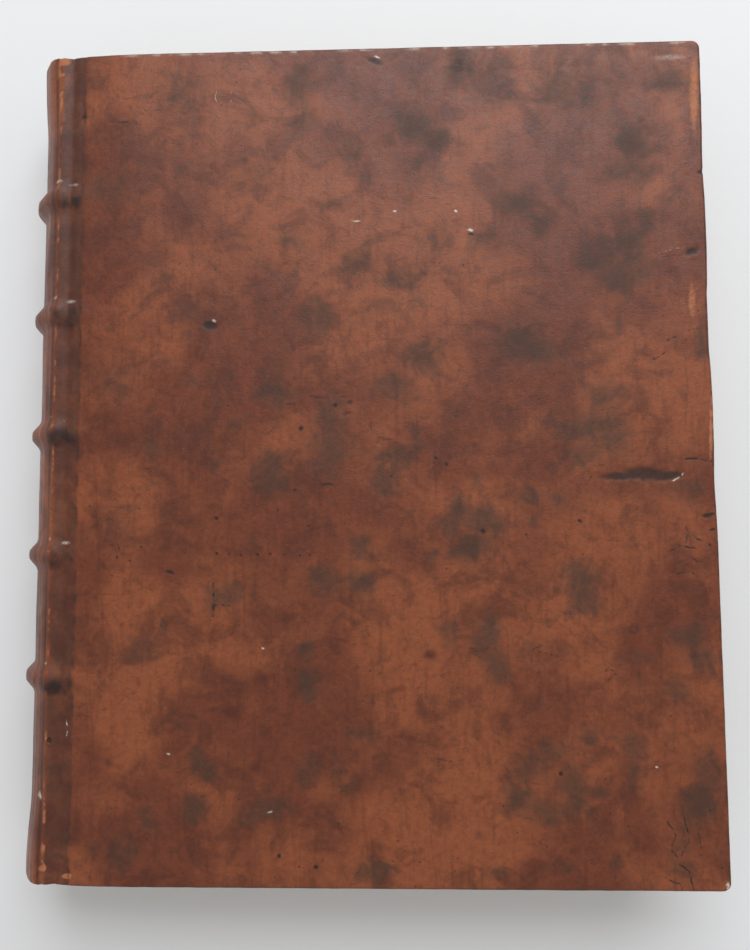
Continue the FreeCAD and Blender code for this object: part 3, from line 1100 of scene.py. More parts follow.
MOTTLES = (
    *spots_of(
        Tone.MOTTLE,
        (182, 88, 26, 20, 0.6),
        (300, 88, 15, 23, 0.8),
        (302, 118, 16, 13, 0.7),
        (253, 117, 8, 7, 0.7),
        (255, 175, 28, 20, 0.45),
        (352, 152, 16, 12, 0.6),
        (102, 190, 24, 15, 0.6),
        (157, 262, 14, 28, 0.45),
        (291, 238, 16, 11, 0.7),
        (240, 238, 12, 5, 0.5),
        (355, 262, 16, 16, 0.7),
        (333, 207, 11, 7, 0.7),
        (318, 315, 14, 22, 0.75),
        (190, 310, 18, 12, 0.35),
        (458, 70, 14, 18, 0.9),
        (470, 88, 10, 6, 0.7, 0.4),
        (558, 85, 26, 20, 0.75),
        (588, 86, 14, 18, 0.7),
        (612, 86, 13, 13, 0.5),
        (412, 126, 20, 17, 0.9),
        (434, 140, 17, 14, 0.85),
        (415, 160, 18, 12, 0.5),
        (462, 150, 10, 22, 0.4, 0.4),
        (632, 140, 17, 17, 0.95),
        (620, 170, 20, 13, 0.75),
        (645, 174, 16, 12, 0.7),
        (520, 203, 22, 16, 0.85),
        (545, 216, 17, 15, 0.75),
        (538, 230, 9, 8, 0.8),
        (483, 242, 9, 20, 0.6, 0.7),
        (441, 238, 17, 16, 0.55),
        (603, 250, 20, 15, 0.9),
        (627, 243, 21, 15, 0.95),
        (590, 262, 15, 12, 0.75),
        (642, 265, 18, 14, 0.8),
        (618, 280, 22, 15, 0.75),
        (648, 222, 10, 14, 0.7),
        (670, 82, 26, 13, 0.6),
        (395, 278, 24, 12, 0.6),
        (385, 305, 16, 10, 0.6),
        (619, 324, 7, 8, 0.6),
        (704, 339, 7, 28, 0.9),
        (424, 360, 19, 17, 0.75),
        (395, 385, 24, 14, 0.7),
        (410, 400, 21, 7, 0.6),
        (520, 340, 20, 20, 0.9),
        (538, 353, 18, 16, 0.85),
        (603, 396, 22, 17, 0.8),
        (592, 428, 24, 20, 0.95),
        (612, 436, 18, 20, 0.9),
        (585, 455, 18, 13, 0.75),
        (560, 420, 14, 16, 0.5),
        (392, 457, 24, 10, 0.75),
        (382, 480, 14, 18, 0.75),
        (476, 482, 10, 9, 0.6),
        (416, 438, 6, 18, 0.5, -0.3),
        (462, 510, 14, 12, 0.9),
        (482, 520, 16, 13, 1.0),
        (450, 527, 13, 12, 0.85),
        (475, 545, 17, 13, 0.95),
        (458, 555, 13, 9, 0.8),
        (498, 526, 11, 11, 0.8),
        (433, 555, 6, 5, 0.8),
        (527, 496, 14, 8, 0.7),
        (560, 500, 12, 10, 0.8),
        (535, 521, 8, 8, 0.6),
        (580, 576, 16, 16, 0.9),
        (584, 600, 15, 17, 0.95),
        (688, 490, 19, 13, 0.7),
        (120, 388, 17, 22, 0.45),
        (191, 381, 7, 6, 0.6),
        (152, 449, 9, 11, 0.6),
        (147, 487, 14, 5, 0.6),
        (125, 506, 21, 5, 0.6),
        (120, 528, 21, 18, 0.45),
        (270, 472, 16, 21, 0.75),
        (213, 466, 6, 5, 0.6),
        (275, 395, 19, 11, 0.7),
        (280, 371, 16, 6, 0.6),
        (245, 418, 7, 5, 0.7),
        (231, 428, 7, 5, 0.7),
        (333, 415, 18, 16, 0.75),
        (330, 445, 20, 22, 0.85),
        (323, 467, 13, 12, 0.75),
        (363, 547, 11, 14, 0.8),
        (325, 578, 18, 18, 0.75),
        (362, 582, 15, 14, 0.85),
        (223, 596, 18, 14, 0.85),
        (163, 627, 5, 8, 0.6),
        (143, 652, 22, 16, 0.45),
        (308, 648, 8, 12, 0.7),
        (310, 688, 11, 20, 0.85),
        (362, 736, 19, 10, 0.7),
        (197, 762, 9, 15, 0.85),
        (208, 772, 9, 11, 0.85),
        (265, 812, 25, 11, 0.85, -0.4),
        (195, 808, 12, 16, 0.85),
        (148, 818, 9, 18, 0.75),
        (123, 855, 14, 16, 0.75),
        (98, 850, 8, 8, 0.6),
        (370, 872, 27, 11, 0.7),
        (345, 775, 16, 21, 0.45),
        (490, 632, 13, 18, 0.9),
        (478, 645, 12, 12, 0.85),
        (497, 665, 13, 19, 0.95),
        (447, 636, 10, 15, 0.75),
        (690, 638, 19, 13, 0.85),
        (703, 660, 17, 12, 0.8),
        (645, 657, 28, 5, 0.6),
        (530, 770, 20, 18, 0.8),
        (555, 752, 18, 13, 0.8),
        (572, 785, 17, 20, 0.9),
        (575, 805, 15, 14, 0.9),
        (545, 815, 22, 14, 0.9),
        (520, 798, 15, 17, 0.85),
        (601, 793, 8, 8, 0.8),
        (590, 735, 14, 8, 0.7),
        (620, 740, 16, 6, 0.6),
        (633, 744, 13, 20, 0.75),
        (634, 772, 12, 18, 0.8),
        (708, 775, 14, 26, 0.85),
        (700, 802, 16, 20, 0.9),
        (616, 863, 8, 9, 0.7),
        (497, 874, 14, 7, 0.6),
        (481, 835, 8, 6, 0.6),
        (568, 869, 8, 6, 0.6),
        (680, 690, 16, 11, 0.75),
        (684, 856, 16, 34, 0.6),
    ),
    Spot(497, 82, 17, 24, 0.75, ring=0.4),
    Spot(306, 768, 13, 16, 0.75, ring=0.4),
)

FINE_SPOTS = (
    *spots_of(
        Tone.DARK,
        (210, 325, 8, 4.5, 1.0, 0.2, 0.15),
        (458, 66, 9, 11, 0.55, 0.3),
        (622, 476, 23, 4.0, 0.62, -0.03, 0.16, 0.5),
        (646, 473.5, 25, 7.0, 0.62, 0.03, 0.26, 0.5),
        (667, 476, 17, 4.6, 0.62, -0.12, 0.26, 0.5),
        (709, 515, 8, 2.4, 1.0, -0.2, 0.12),
        (713, 530, 4, 1.6, 1.0, 0.0, 0.1),
        (49, 741, 2.3, 2.3, 1.5, 0.0, 0.5),
        (692, 251, 8, 4, 0.9, -0.3, 0.15),
        (703, 172, 4, 3, 0.9, 0.0, 0.2),
        (374, 61, 10, 3.2, 0.8, 0.35, 0.12),
        (335, 405, 3.2, 2.6, 0.9),
        (301, 428, 2.6, 2.6, 0.9),
        (327, 484, 8, 1.8, 0.8),
        (295, 490, 3, 1.8, 0.7),
        (217, 554, 1.6, 1.3, 1.0),
        (229, 554, 1.4, 1.2, 1.0),
        (240, 555, 1.6, 1.3, 1.0),
        (258, 554, 1.5, 1.2, 1.0),
        (270, 554, 1.8, 1.3, 1.0),
        (284, 554, 1.4, 1.2, 1.0),
        (300, 555, 1.6, 1.2, 1.0),
        (310, 555, 1.4, 1.2, 1.0),
        (483, 531, 3.6, 3.4, 0.8),
        (580, 521, 2.4, 2.2, 1.0, 0.0, 0.1),
        (446, 464, 2.2, 2.0, 0.9),
        (436, 458, 2.2, 1.8, 0.9),
        (279, 856, 2.4, 2.4, 0.9),
        (316, 867, 2.6, 2.4, 1.0, 0.0, 0.1),
        (561, 774, 2.6, 2.4, 1.0, 0.0, 0.1),
        (216, 518, 2.4, 2.2, 0.9),
        (84, 117, 2.4, 2.2, 1.0),
        (170, 572, 6, 2.0, 0.8, 0.3),
        (471, 234, 4.4, 1.6, 0.9, 0.2),
    ),
    *spots_of(
        Tone.PALE,
        (214, 321, 3, 1.5, 0.7, 0.2),
        (670, 57, 25, 4.5, 0.4, -0.05),
        (377, 57, 4, 1.3, 1.0, 0.2),
        (395, 211, 2.4, 1.4, 1.0),
        (456, 211, 2.4, 1.5, 1.0, 0.3),
        (471, 230, 3.4, 1.4, 1.0, 0.2),
        (263, 648, 2.0, 1.4, 0.9),
        (168, 754, 2.0, 1.5, 0.9),
        (356, 221, 7, 1.2, 0.7, 0.1),
        (657, 767, 2.2, 1.5, 0.9),
        (270, 812, 4, 1.6, 0.7, -0.4),
        (728, 886, 2.0, 5, 0.9),
        (40, 795, 2.0, 5, 0.8),
    ),
    *spots_of(
        Tone.BARE,
        (694, 95, 6, 50, 0.6),
        (694, 300, 7, 24, 0.5),
        (712, 425, 3, 44, 0.7, 0.02),
        (685, 560, 12, 16, 0.24, 0.2),
        (43, 868, 4, 4, 0.9),
        (67, 876, 6, 3, 0.9),
    ),
    *spots_of(
        Tone.RED,
        (290, 404, 7, 1.8, 0.8),
        (318, 397, 10, 2.2, 0.8, 0.1),
        (350, 402, 3.4, 2.2, 0.9),
        (347, 413, 7, 1.8, 0.8, -0.1),
        (262, 678, 11, 8, 0.6),
        (294, 695, 9, 7, 0.5),
        (230, 712, 15, 9, 0.7, 0.1),
        (255, 768, 8, 8, 0.6),
        (430, 655, 10, 7, 0.7),
        (395, 690, 16, 5, 0.5, -0.2),
        (340, 640, 12, 4, 0.5, 0.2),
        (500, 715, 14, 5, 0.4, 0.1),
    ),
    Spot(634, 629, 6.5, 6, 0.8, 0.0, 0.08, ring=0.7, tone=Tone.RED),
)

SCRATCHES = (
    Scratch(((683, 459), (700, 459), (714, 462)), 1.5, 1.0, Tone.DARK, 0.15),
    Scratch(((671, 482), (678, 478), (685, 472)), 1.2, 1.0, Tone.PALE),
    Scratch(((695, 538), (703, 541), (711, 546)), 1.4, 1.0, Tone.DARK, 0.12),
    Scratch(((668, 552), (680, 546), (697, 548)), 1.2, 0.9, Tone.DARK, 0.06),
    Scratch(((672, 566), (690, 558), (701, 562)), 1.2, 0.9, Tone.DARK, 0.06),
    Scratch(((684, 522), (688, 532), (686, 543)), 1.2, 0.8, Tone.DARK, 0.05),
    Scratch(((676, 574), (690, 571), (700, 576)), 1.0, 0.8, Tone.DARK, 0.05),
    Scratch(((668, 822), (676, 836), (671, 850), (678, 858)), 1.4, 0.9, Tone.DARK, 0.06),
    Scratch(((684, 818), (690, 838), (682, 856)), 1.4, 0.9, Tone.DARK, 0.06),
    Scratch(((676, 862), (690, 872), (694, 890)), 1.3, 0.9, Tone.DARK, 0.06),
    Scratch(((664, 878), (680, 884), (684, 893)), 1.2, 0.8, Tone.DARK, 0.05),
    Scratch(((696, 824), (702, 846), (698, 866)), 1.2, 0.7, Tone.DARK, 0.05),
    Scratch(((648, 256), (666, 251), (685, 247)), 1.3, 0.5, Tone.PALE),
    Scratch(((648, 262), (666, 256), (684, 254)), 1.2, 0.6, Tone.DARK),
    Scratch(((666, 341), (676, 337)), 1.3, 1.0, Tone.DARK, 0.08),
    Scratch(((654, 359), (665, 353)), 1.3, 1.0, Tone.DARK, 0.08),
    Scratch(((213, 583), (214, 600), (213, 616)), 1.7, 0.9, Tone.DARK, 0.08),
    Scratch(((213, 606), (222, 605), (231, 607)), 1.4, 0.9, Tone.DARK, 0.06),
    Scratch(((229, 637), (239, 626), (250, 614)), 1.0, 0.6, Tone.DARK, 0.04),
    Scratch(((118, 544), (119, 552), (116, 558)), 1.4, 0.9, Tone.DARK, 0.05),
    Scratch(((88, 553), (112, 546), (136, 536)), 1.1, 0.6, Tone.RED, 0.05),
    Scratch(((103, 574), (130, 580), (158, 594)), 1.1, 0.6, Tone.RED, 0.05),
    Scratch(((80, 658), (100, 655), (121, 656)), 1.1, 0.6, Tone.RED, 0.05),
    Scratch(((604, 672), (611, 669), (616, 675), (608, 680)), 1.1, 0.7, Tone.DARK),
    Scratch(((539, 842), (548, 847), (543, 851)), 1.1, 0.7, Tone.DARK),
    Scratch(((555, 656), (540, 652), (530, 650), (542, 645)), 1.1, 0.7, Tone.DARK),
    Scratch(((111, 122), (129, 122)), 1.2, 0.8, Tone.DARK, 0.04),
    Scratch(((144, 110), (161, 110)), 1.1, 0.6, Tone.DARK, 0.04),
    Scratch(((119, 226), (131, 227)), 1.1, 0.6, Tone.DARK, 0.04),
    Scratch(((216, 90), (216, 106)), 1.0, 0.6, Tone.PALE),
    Scratch(((222, 96), (223, 110)), 1.0, 0.5, Tone.DARK),
    Scratch(((231, 88), (231, 102)), 1.0, 0.5, Tone.PALE),
    Scratch(((66, 720), (67, 728), (66, 736)), 1.5, 0.9, Tone.PALE),
    Scratch(((420, 430), (414, 444), (418, 452)), 1.2, 0.6, Tone.DARK),
    Scratch(((505, 300), (520, 296), (534, 299)), 1.0, 0.5, Tone.RED),
    Scratch(((250, 330), (262, 336), (270, 334)), 1.0, 0.5, Tone.RED),
)

# Depth in millimetres, then the middle and the width down the photograph in pixels.
FORE_EDGE_DENTS = ((0.8, 322, 42), (0.4, 482, 30), (0.35, 162, 35))

# Noise on stretched points runs along the spine.
ALONG_SPINE = np.array([1.0, 0.06, 1.0])


def spot_share(pixels: np.ndarray, spot: Spot) -> np.ndarray:
    """How much of a spot lies on each point.

    Args:
        pixels: Where the photograph shows the points.
        spot: The spot.

    Returns:
        1 in the spot's middle, falling to 0 past its rim.
    """
    away = pixels - np.array([spot.across, spot.down])
    cosine, sine = math.cos(spot.tilt), math.sin(spot.tilt)
    along = (away[:, 0] * cosine + away[:, 1] * sine) / (spot.wide * spot.spread)
    over = (away[:, 1] * cosine - away[:, 0] * sine) / (spot.tall * spot.spread)
    far = np.sqrt(along**2 + over**2)
    solid = 1 - smooth_step(far, spot.core, 1.5)
    hollow = 1 - spot.ring * (1 - smooth_step(far, 0.1, 0.7))
    return spot.strength * solid * hollow


def scratch_distance(pixels: np.ndarray, scratch: Scratch) -> np.ndarray:
    """How far each point lies from a scratch's line.

    Args:
        pixels: Where the photograph shows the points.
        scratch: The scratch.

    Returns:
        Distances in the photograph's pixels.
    """
    nearest = np.full(len(pixels), 1e9)
    for start, end in zip(scratch.route, scratch.route[1:]):
        first = np.array(start)
        run = np.array(end) - first
        along = np.clip(((pixels - first) @ run) / (run @ run), 0, 1)
        nearest = np.minimum(nearest, np.linalg.norm(pixels - first - along[:, None] * run, axis=1))
    return nearest


def add_tone(tones: dict[str, np.ndarray], tone: Tone, share: np.ndarray) -> None:
    """Adds a mark to a tone, which keeps the stronger of the two at each point.

    Args:
        tones: The tones by name.
        tone: Which one the mark belongs to.
        share: How strong the mark is at each point.
    """
    tones[tone.value] = np.maximum(tones[tone.value], share)


@dataclass
class CalfSkin:
    """One skin of calf: the front cover with the spine, or the back cover with its joint."""

    frame: BookFrame
    section: SkinSection
    camera: PhotoCamera
    side: Side
    wave_depth: float = 0.06
    pit_depth: float = 0.04
    wide_warp: float = 7.0
    thin_warp: float = 3.5
    sharp_warp: float = 1.3
    fine_rim: float = 2.4
    fine_under: float = 9.0
    step_line_x: float = -87.0
    band_half_width: float = 4.9
    band_ridge: float = 0.95
    crest_radius: float = 16.95
    crest_shift: float = 5.18
    flare: float = 1.1
    ripple: float = 0.16

    def build(self, name: str) -> bpy.types.Object:
        """Makes the skin.

        Args:
            name: The piece's name.

        Returns:
            The piece.
        """
        cover = CoverCalf(self.frame, self.section)
        bm = cover.envelope()
        cut_by_planes(bm, list(bm.faces), 0, cover.x_stations())
        for vert in bm.verts:
            vert.co = Vector(cover.slope(np.array([vert.co]))[0])
        SpineSheet(self.frame, self.section).add(bm, self.side is Side.FRONT)
        bmesh.ops.remove_doubles(bm, verts=bm.verts, dist=0.02)
        outer = list(bm.faces)
        thicken(bm, cover.thickness)
        outer = cut_by_planes(bm, outer, 1, cover.y_stations())
        marked = bm.verts.layers.float.new("outside")
        for face in outer:
            for vert in face.verts:
                vert[marked] = 1.0
        if self.side is Side.FRONT:
            self.refine(bm, outer)
        else:
            bmesh.ops.scale(bm, vec=(1, 1, -1), verts=bm.verts)
            bmesh.ops.translate(bm, vec=(0, 0, self.frame.cover_high.z), verts=bm.verts)
            bmesh.ops.reverse_faces(bm, faces=bm.faces)
        piece = finish_piece(bm, name)
        self.shape(piece.data)
        return piece

    def refine(self, bm: bmesh.types.BMesh, faces: list[bmesh.types.BMFace]) -> None:
        """Splits the faces under fine marks, which are narrower than a face.

        Args:
            bm: The front skin's bmesh.
            faces: Its outer faces.
        """
        bm.normal_update()
        upper = [face for face in faces if face.normal.z > 0.5]
        pixels = self.camera.project(np.array([face.calc_center_median() for face in upper]))
        near = np.zeros(len(upper), dtype=bool)
        for scratch in SCRATCHES:
            near |= scratch_distance(pixels, scratch) < scratch.width + self.fine_rim
        for spot in FINE_SPOTS:
            if min(spot.wide, spot.tall) < self.fine_under:
                wider = Spot(spot.across, spot.down, spot.wide + 2, spot.tall + 2, tilt=spot.tilt)
                near |= spot_share(pixels, wider) > 0.02
        chosen = [face for face, hit in zip(upper, near) if hit]
        edges = list(dict.fromkeys(edge for face in chosen for edge in face.edges))
        bmesh.ops.subdivide_edges(bm, edges=edges, cuts=3, use_grid_fill=True)
        log.info("faces split under fine marks: %d", len(chosen))

    def shape(self, mesh: bpy.types.Mesh) -> None:
        """Raises the bands, presses in the marks and keeps the marks' tones on the mesh.

        Args:
            mesh: The skin's mesh.
        """
        points = points_of(mesh)
        normals = normals_of(mesh)
        outside = np.zeros(len(points))
        mesh.attributes["outside"].data.foreach_get("value", outside)
        tones = {tone.value: np.zeros(len(points)) for tone in Tone}
        lowered = self.marks(points, normals, tones)
        self.wear_and_painted_light(points, tones)
        lowered += self.wave_depth * (1 + noise_at(points, 9.0))
        lowered += self.pit_depth * (1 + noise_at(points, 3.0, 7.0))
        on_spine = smooth_step(-points[:, 0], -self.section.ridge.x + 0.2, -self.section.ridge.x + 2.8)
        if self.side is Side.BACK:
            on_spine = np.zeros(len(points))
        ends = smooth_step(np.abs(points[:, 1]), 100, 127)
        lengthwise = points * ALONG_SPINE
        ripples = noise_at(lengthwise, 1.9, 3.0) + 0.5 * noise_at(lengthwise, 0.9, 11.0)
        raised = self.bands(points) + on_spine * (self.flare * ends + self.ripple * ripples)
        moved = points + normals * ((raised - lowered) * outside)[:, None]
        if self.side is Side.FRONT:
            down = self.camera.project(points)[:, 1]
            dent = sum(depth * hump(down, middle, width) for depth, middle, width in FORE_EDGE_DENTS)
            moved[:, 0] -= dent * smooth_step(points[:, 0], 96.0, 106.0)
        edge = self.frame.cover_high
        moved[:, 0] = np.clip(moved[:, 0], self.frame.spine_low.x, edge.x)
        moved[:, 1] = np.clip(moved[:, 1], -edge.y, edge.y)
        moved[:, 2] = np.clip(moved[:, 2], 0.0, edge.z)
        on_cover = points[:, 0] > self.frame.cover_low.x + 1e-3
        inner = self.frame.cover_low.z
        if self.side is Side.FRONT:
            kept = np.maximum(moved[:, 2], inner)
        else:
            kept = np.minimum(moved[:, 2], edge.z - inner)
        moved[:, 2] = np.where(on_cover, kept, moved[:, 2])
        put_points(mesh, moved)
        for name, values in tones.items():
            put_attribute(mesh, name, values)

    def marks(self, points: np.ndarray, normals: np.ndarray, tones: dict[str, np.ndarray]) -> np.ndarray:
        """Lays the photographed spots on the skin, and scattered ones where the photograph shows nothing.

        Args:
            points: Places on the skin in millimetres.
            normals: The skin's normals there.
            tones: The tones to add to.

        Returns:
            How deep the marks lie, in millimetres.
        """
        lowered = np.zeros(len(points))
        scattered = noise_at(points, 13.0, 5.0) + 0.45 * noise_at(points, 5.0, 9.0)
        blotches = 0.8 * smooth_step(scattered, 0.18, 0.6)
        if self.side is Side.BACK:
            tones[Tone.MOTTLE.value] = blotches
            return lowered
        facing = (normals[:, 2] > 0.05) | (points[:, 0] < self.section.ridge.x)
        seen = (facing & (points[:, 2] > self.frame.middle_z)).astype(float)
        pixels = self.camera.project(points)
        wide_warp = np.stack([noise_at(points, 5.0, 2.0), noise_at(points, 5.0, 17.0)], axis=1)
        thin_warp = np.stack([noise_at(points, 1.7, 4.0), noise_at(points, 1.7, 19.0)], axis=1)
        soft_pixels = pixels + self.wide_warp * wide_warp + self.thin_warp * thin_warp
        sharp_pixels = pixels + self.sharp_warp * thin_warp
        for spots, places in ((MOTTLES, soft_pixels), (FINE_SPOTS, sharp_pixels)):
            for spot in spots:
                share = spot_share(places, spot) * seen
                add_tone(tones, spot.tone, share)
                lowered = np.maximum(lowered, share * spot.depth)
        gaps = 0.25 + 0.75 * smooth_step(noise_at(points, 1.1, 31.0), -0.3, 0.3)
        for scratch in SCRATCHES:
            near = scratch_distance(sharp_pixels, scratch)
            share = scratch.strength * (1 - smooth_step(near, 0.0, scratch.width)) * seen * gaps
            add_tone(tones, scratch.tone, share)
            lowered = np.maximum(lowered, share * scratch.depth)
        add_tone(tones, Tone.MOTTLE, blotches * (1 - seen))
        return lowered

    def wear_and_painted_light(self, points: np.ndarray, tones: dict[str, np.ndarray]) -> None:
        """Adds rubbed and darkened marks on the ridge, the joint, the bands' tops, the caps and the corners,
        painted shade under the bands, just past the ridge, along the board's step and along the edges, painted
        highlights on the creases above the bands and along the head edge, and a painted reflection down the
        spine's curve.

        Args:
            points: Places on the skin in millimetres.
            tones: The tones to add to.
        """
        x, y = points[:, 0], points[:, 1]
        z = points[:, 2] if self.side is Side.FRONT else self.frame.cover_high.z - points[:, 2]
        above = smooth_step(z, 22.0, 30.0)
        ridge = self.section.ridge.x
        blur = noise_at(points, 3.0, 41.0)
        broken = smooth_step(noise_at(points, 4.0, 23.0) + 0.6 * noise_at(points, 1.4, 29.0), -0.35, 0.35)
        near_end = smooth_step(np.abs(y), 104.0, 118.0)
        line = hump(x, ridge - 0.2, 0.7) * (0.5 + 0.5 * near_end) * broken
        patch = hump(x, ridge + 0.2, 2.2) * smooth_step(y, 112.0, 121.0) * broken
        bare = np.maximum(line, 0.9 * patch) * above
        joint = smooth_step(x, ridge - 0.2, ridge + 0.8) * smooth_step(-x + 0.9 * blur, 85.9, 87.5)
        # A dark line just past the ridge on the spine's curve is painted shade.
        gutter = hump(x, ridge - 1.6, 0.6) * above
        # A dark line along the board's step is painted shade.
        painted_step_shade = hump(x, self.step_line_x, 0.5) * above * broken
        dark = 0.1 * joint * above + 0.5 * gutter + 0.3 * painted_step_shade
        # At each band a dark patch below it is painted shade, a pale crease above it is a painted highlight, and
        # its top is rubbed bare.
        for middle in self.frame.band_y:
            across = smooth_step(x, ridge - 4.5, ridge - 1.0) * smooth_step(-x, 84.5, 89.5)
            under = hump(y, middle - 1.8 - 1.6 * blur, 2.9) * across
            under = under * (0.45 + 0.55 * smooth_step(-blur, -0.5, 0.1))
            crease = hump(y, middle + 4.9 + 0.25 * (ridge - x), 0.5) * across
            top = hump(x, ridge - 2.0, 2.0) * hump(y, middle, 3.0)
            dark = np.maximum(dark, 0.85 * under * above * (0.5 + 0.5 * broken))
            bare = np.maximum(bare, 0.55 * top * broken * above)
            add_tone(tones, Tone.PALE, 0.6 * crease * broken * above)
        strip = joint * above
        add_tone(tones, Tone.MOTTLE, 0.62 * strip)
        add_tone(tones, Tone.RED, strip * (0.22 + 0.3 * broken))
        # A pale strip down the spine's curve is a painted reflection of the floor, and the pale line along the
        # head edge is a painted highlight.
        shine = smooth_step(-x, -ridge + 2.2, -ridge + 4.5) * above
        shine = shine * (0.55 + 0.45 * noise_at(points * ALONG_SPINE, 0.8, 3.0))
        head_line = smooth_step(y, 127.3, 127.9) * smooth_step(-y, -128.7, -128.3)
        head_line = head_line * smooth_step(x, -86.0, -70.0)
        dashes = 0.35 + 0.65 * smooth_step(blur, -0.2, 0.4)
        add_tone(tones, Tone.PALE, np.maximum(0.42 * shine, 0.5 * head_line * dashes))
        # Dark lines along the fore edge, the head and the tail are painted shade.
        fore = smooth_step(x, 106.3, 107.3)
        head_and_tail = smooth_step(np.abs(y), 128.0, 128.7) * smooth_step(x, -93.0, -91.0)
        dark = np.maximum(dark, 0.5 * np.maximum(fore, head_and_tail) * (0.4 + 0.6 * broken))
        corner = smooth_step(np.abs(y) + x, 226.0, 234.0) * broken
        bare = np.maximum(bare, 0.35 * corner)
        add_tone(tones, Tone.DARK, dark)
        add_tone(tones, Tone.BARE, bare)

    def bands(self, points: np.ndarray) -> np.ndarray:
        """How far the bands lift the skin at each point.

        Args:
            points: Places on the skin in millimetres.

        Returns:
            Heights in millimetres.
        """
        centre = self.section.spine_centre
        angle = np.arctan2(np.abs(points[:, 2] - centre.z), centre.x - points[:, 0])
        inside = np.clip(self.crest_radius**2 - (self.crest_shift * np.sin(angle)) ** 2, 0, None)
        crest = self.crest_shift * np.cos(angle) + np.sqrt(inside) - self.section.spine_radius
        on_spine = points[:, 0] < self.section.ridge.x
        past = points[:, 0] - self.section.ridge.x
        fading = np.interp(past, (0, 2, 4, 7, 10, 12.5), (0.95, 0.8, 0.7, 0.5, 0.2, 0.0))
        height = np.where(on_spine, np.maximum(crest, self.band_ridge), fading)
        lift = np.zeros(len(points))
        for middle in self.frame.band_y:
            away = np.abs(points[:, 1] - middle) / self.band_half_width
            lift = np.maximum(lift, (1 - smooth_step(away, 0.15, 1.0)) * height)
        return lift


@dataclass
class LeafBlock:
    """The text block as its leaves show: each leaf's edge is a small step in the block's sides."""

    frame: BookFrame
    leaves: int = 200
    across_steps: int = 44
    along_steps: int = 18
    fore_hollow: float = 6.3
    shoulder_start: float = 3.2
    groove: float = 0.07
    unevenness: float = 0.16
    back_radius: float = 17.35
    flat_top: float = 31.1
    seed: int = 7

    def build(self, name: str) -> bpy.types.Object:
        """Makes the block.

        Args:
            name: The piece's name.

        Returns:
            The piece.
        """
        bm = bmesh.new()
        bmesh.ops.create_grid(bm, x_segments=self.across_steps, y_segments=self.along_steps, size=0.5)
        bmesh.ops.reverse_faces(bm, faces=bm.faces)
        base = list(bm.faces)
        lid = bmesh.ops.duplicate(bm, geom=[*bm.verts, *bm.edges, *bm.faces])["geom"]
        lid_faces = [item for item in lid if isinstance(item, bmesh.types.BMFace)]
        lid_verts = [item for item in lid if isinstance(item, bmesh.types.BMVert)]
        bmesh.ops.reverse_faces(bm, faces=lid_faces)
        bmesh.ops.translate(bm, vec=(0, 0, 1), verts=lid_verts)
        rim = [edge for face in base for edge in face.edges if edge.is_boundary]
        rim = list(dict.fromkeys(rim))
        loops = 2 * self.leaves
        for _ in range(loops):
            made = bmesh.ops.extrude_edge_only(bm, edges=rim)
            verts = [item for item in made["geom"] if isinstance(item, bmesh.types.BMVert)]
            fresh = set(verts)
            bmesh.ops.translate(bm, vec=(0, 0, 1 / loops), verts=verts)
            edges = [item for item in made["geom"] if isinstance(item, bmesh.types.BMEdge)]
            rim = [edge for edge in edges if edge.verts[0] in fresh and edge.verts[1] in fresh]
        bmesh.ops.remove_doubles(bm, verts=bm.verts, dist=1e-5)
        bmesh.ops.recalc_face_normals(bm, faces=bm.faces)
        piece = finish_piece(bm, name, smooth=False)
        self.shape(piece.data)
        return piece

    def shape(self, mesh: bpy.types.Mesh) -> None:
        """Gives the unit block its round back, hollow fore edge, shoulders and uneven leaves.

        Args:
            mesh: The block's mesh, a unit cube about the origin's plane.
        """
        unit = points_of(mesh)
        across = np.clip(unit[:, 0] + 0.5, 0, 1)
        along = np.clip(unit[:, 1] * 2, -1, 1)
        level = np.clip(unit[:, 2], 0, 1)
        random = np.random.default_rng(self.seed)
        loop = np.rint(level * 2 * self.leaves).astype(int)
        leaf = loop // 2
        low, high = self.frame.block_low, self.frame.block_high
        middle = self.frame.middle_z
        rise = (level - 0.5) * 2
        shoulder_x = low.x + 11.5
        back_half = (high.z - low.z) / 2
        flat_half = self.flat_top - middle
        drop = np.clip(rise * back_half, -self.back_radius, self.back_radius)
        back_x = low.x + self.back_radius - np.sqrt(np.clip(self.back_radius**2 - drop**2, 0.0, None))
        fore_x = high.x - self.fore_hollow * (1 - rise**2)
        bent = across**1.35
        x = back_x + (fore_x - back_x) * bent
        swelling = smooth_step(-x, -(shoulder_x + self.shoulder_start), -shoulder_x)
        z = middle + rise * (flat_half + (back_half - flat_half) * swelling)
        y = along * high.y
        proud = random.uniform(-1, 1, self.leaves + 2) * self.unevenness
        gathering = random.uniform(-1, 1, self.leaves // 8 + 2) * self.unevenness * 1.4
        tuck = self.unevenness * 2.4 - proud[leaf] - gathering[leaf // 8]
        tuck = tuck + np.where(loop % 2 == 0, self.groove, 0.0)
        seeds = np.stack([x, y, leaf * 3.1], axis=1)
        tuck = tuck + 0.1 * (1 + noise_at(seeds, 14.0))
        at_fore = across > 0.999
        at_back = across < 0.001
        at_head = along > 0.999
        at_tail = along < -0.999
        x = x - np.where(at_fore, tuck, 0.0) + np.where(at_back, tuck * 0.2, 0.0)
        y = y - np.where(at_head, tuck, 0.0) + np.where(at_tail, tuck, 0.0)
        put_points(mesh, np.stack([x, y, z], axis=1))


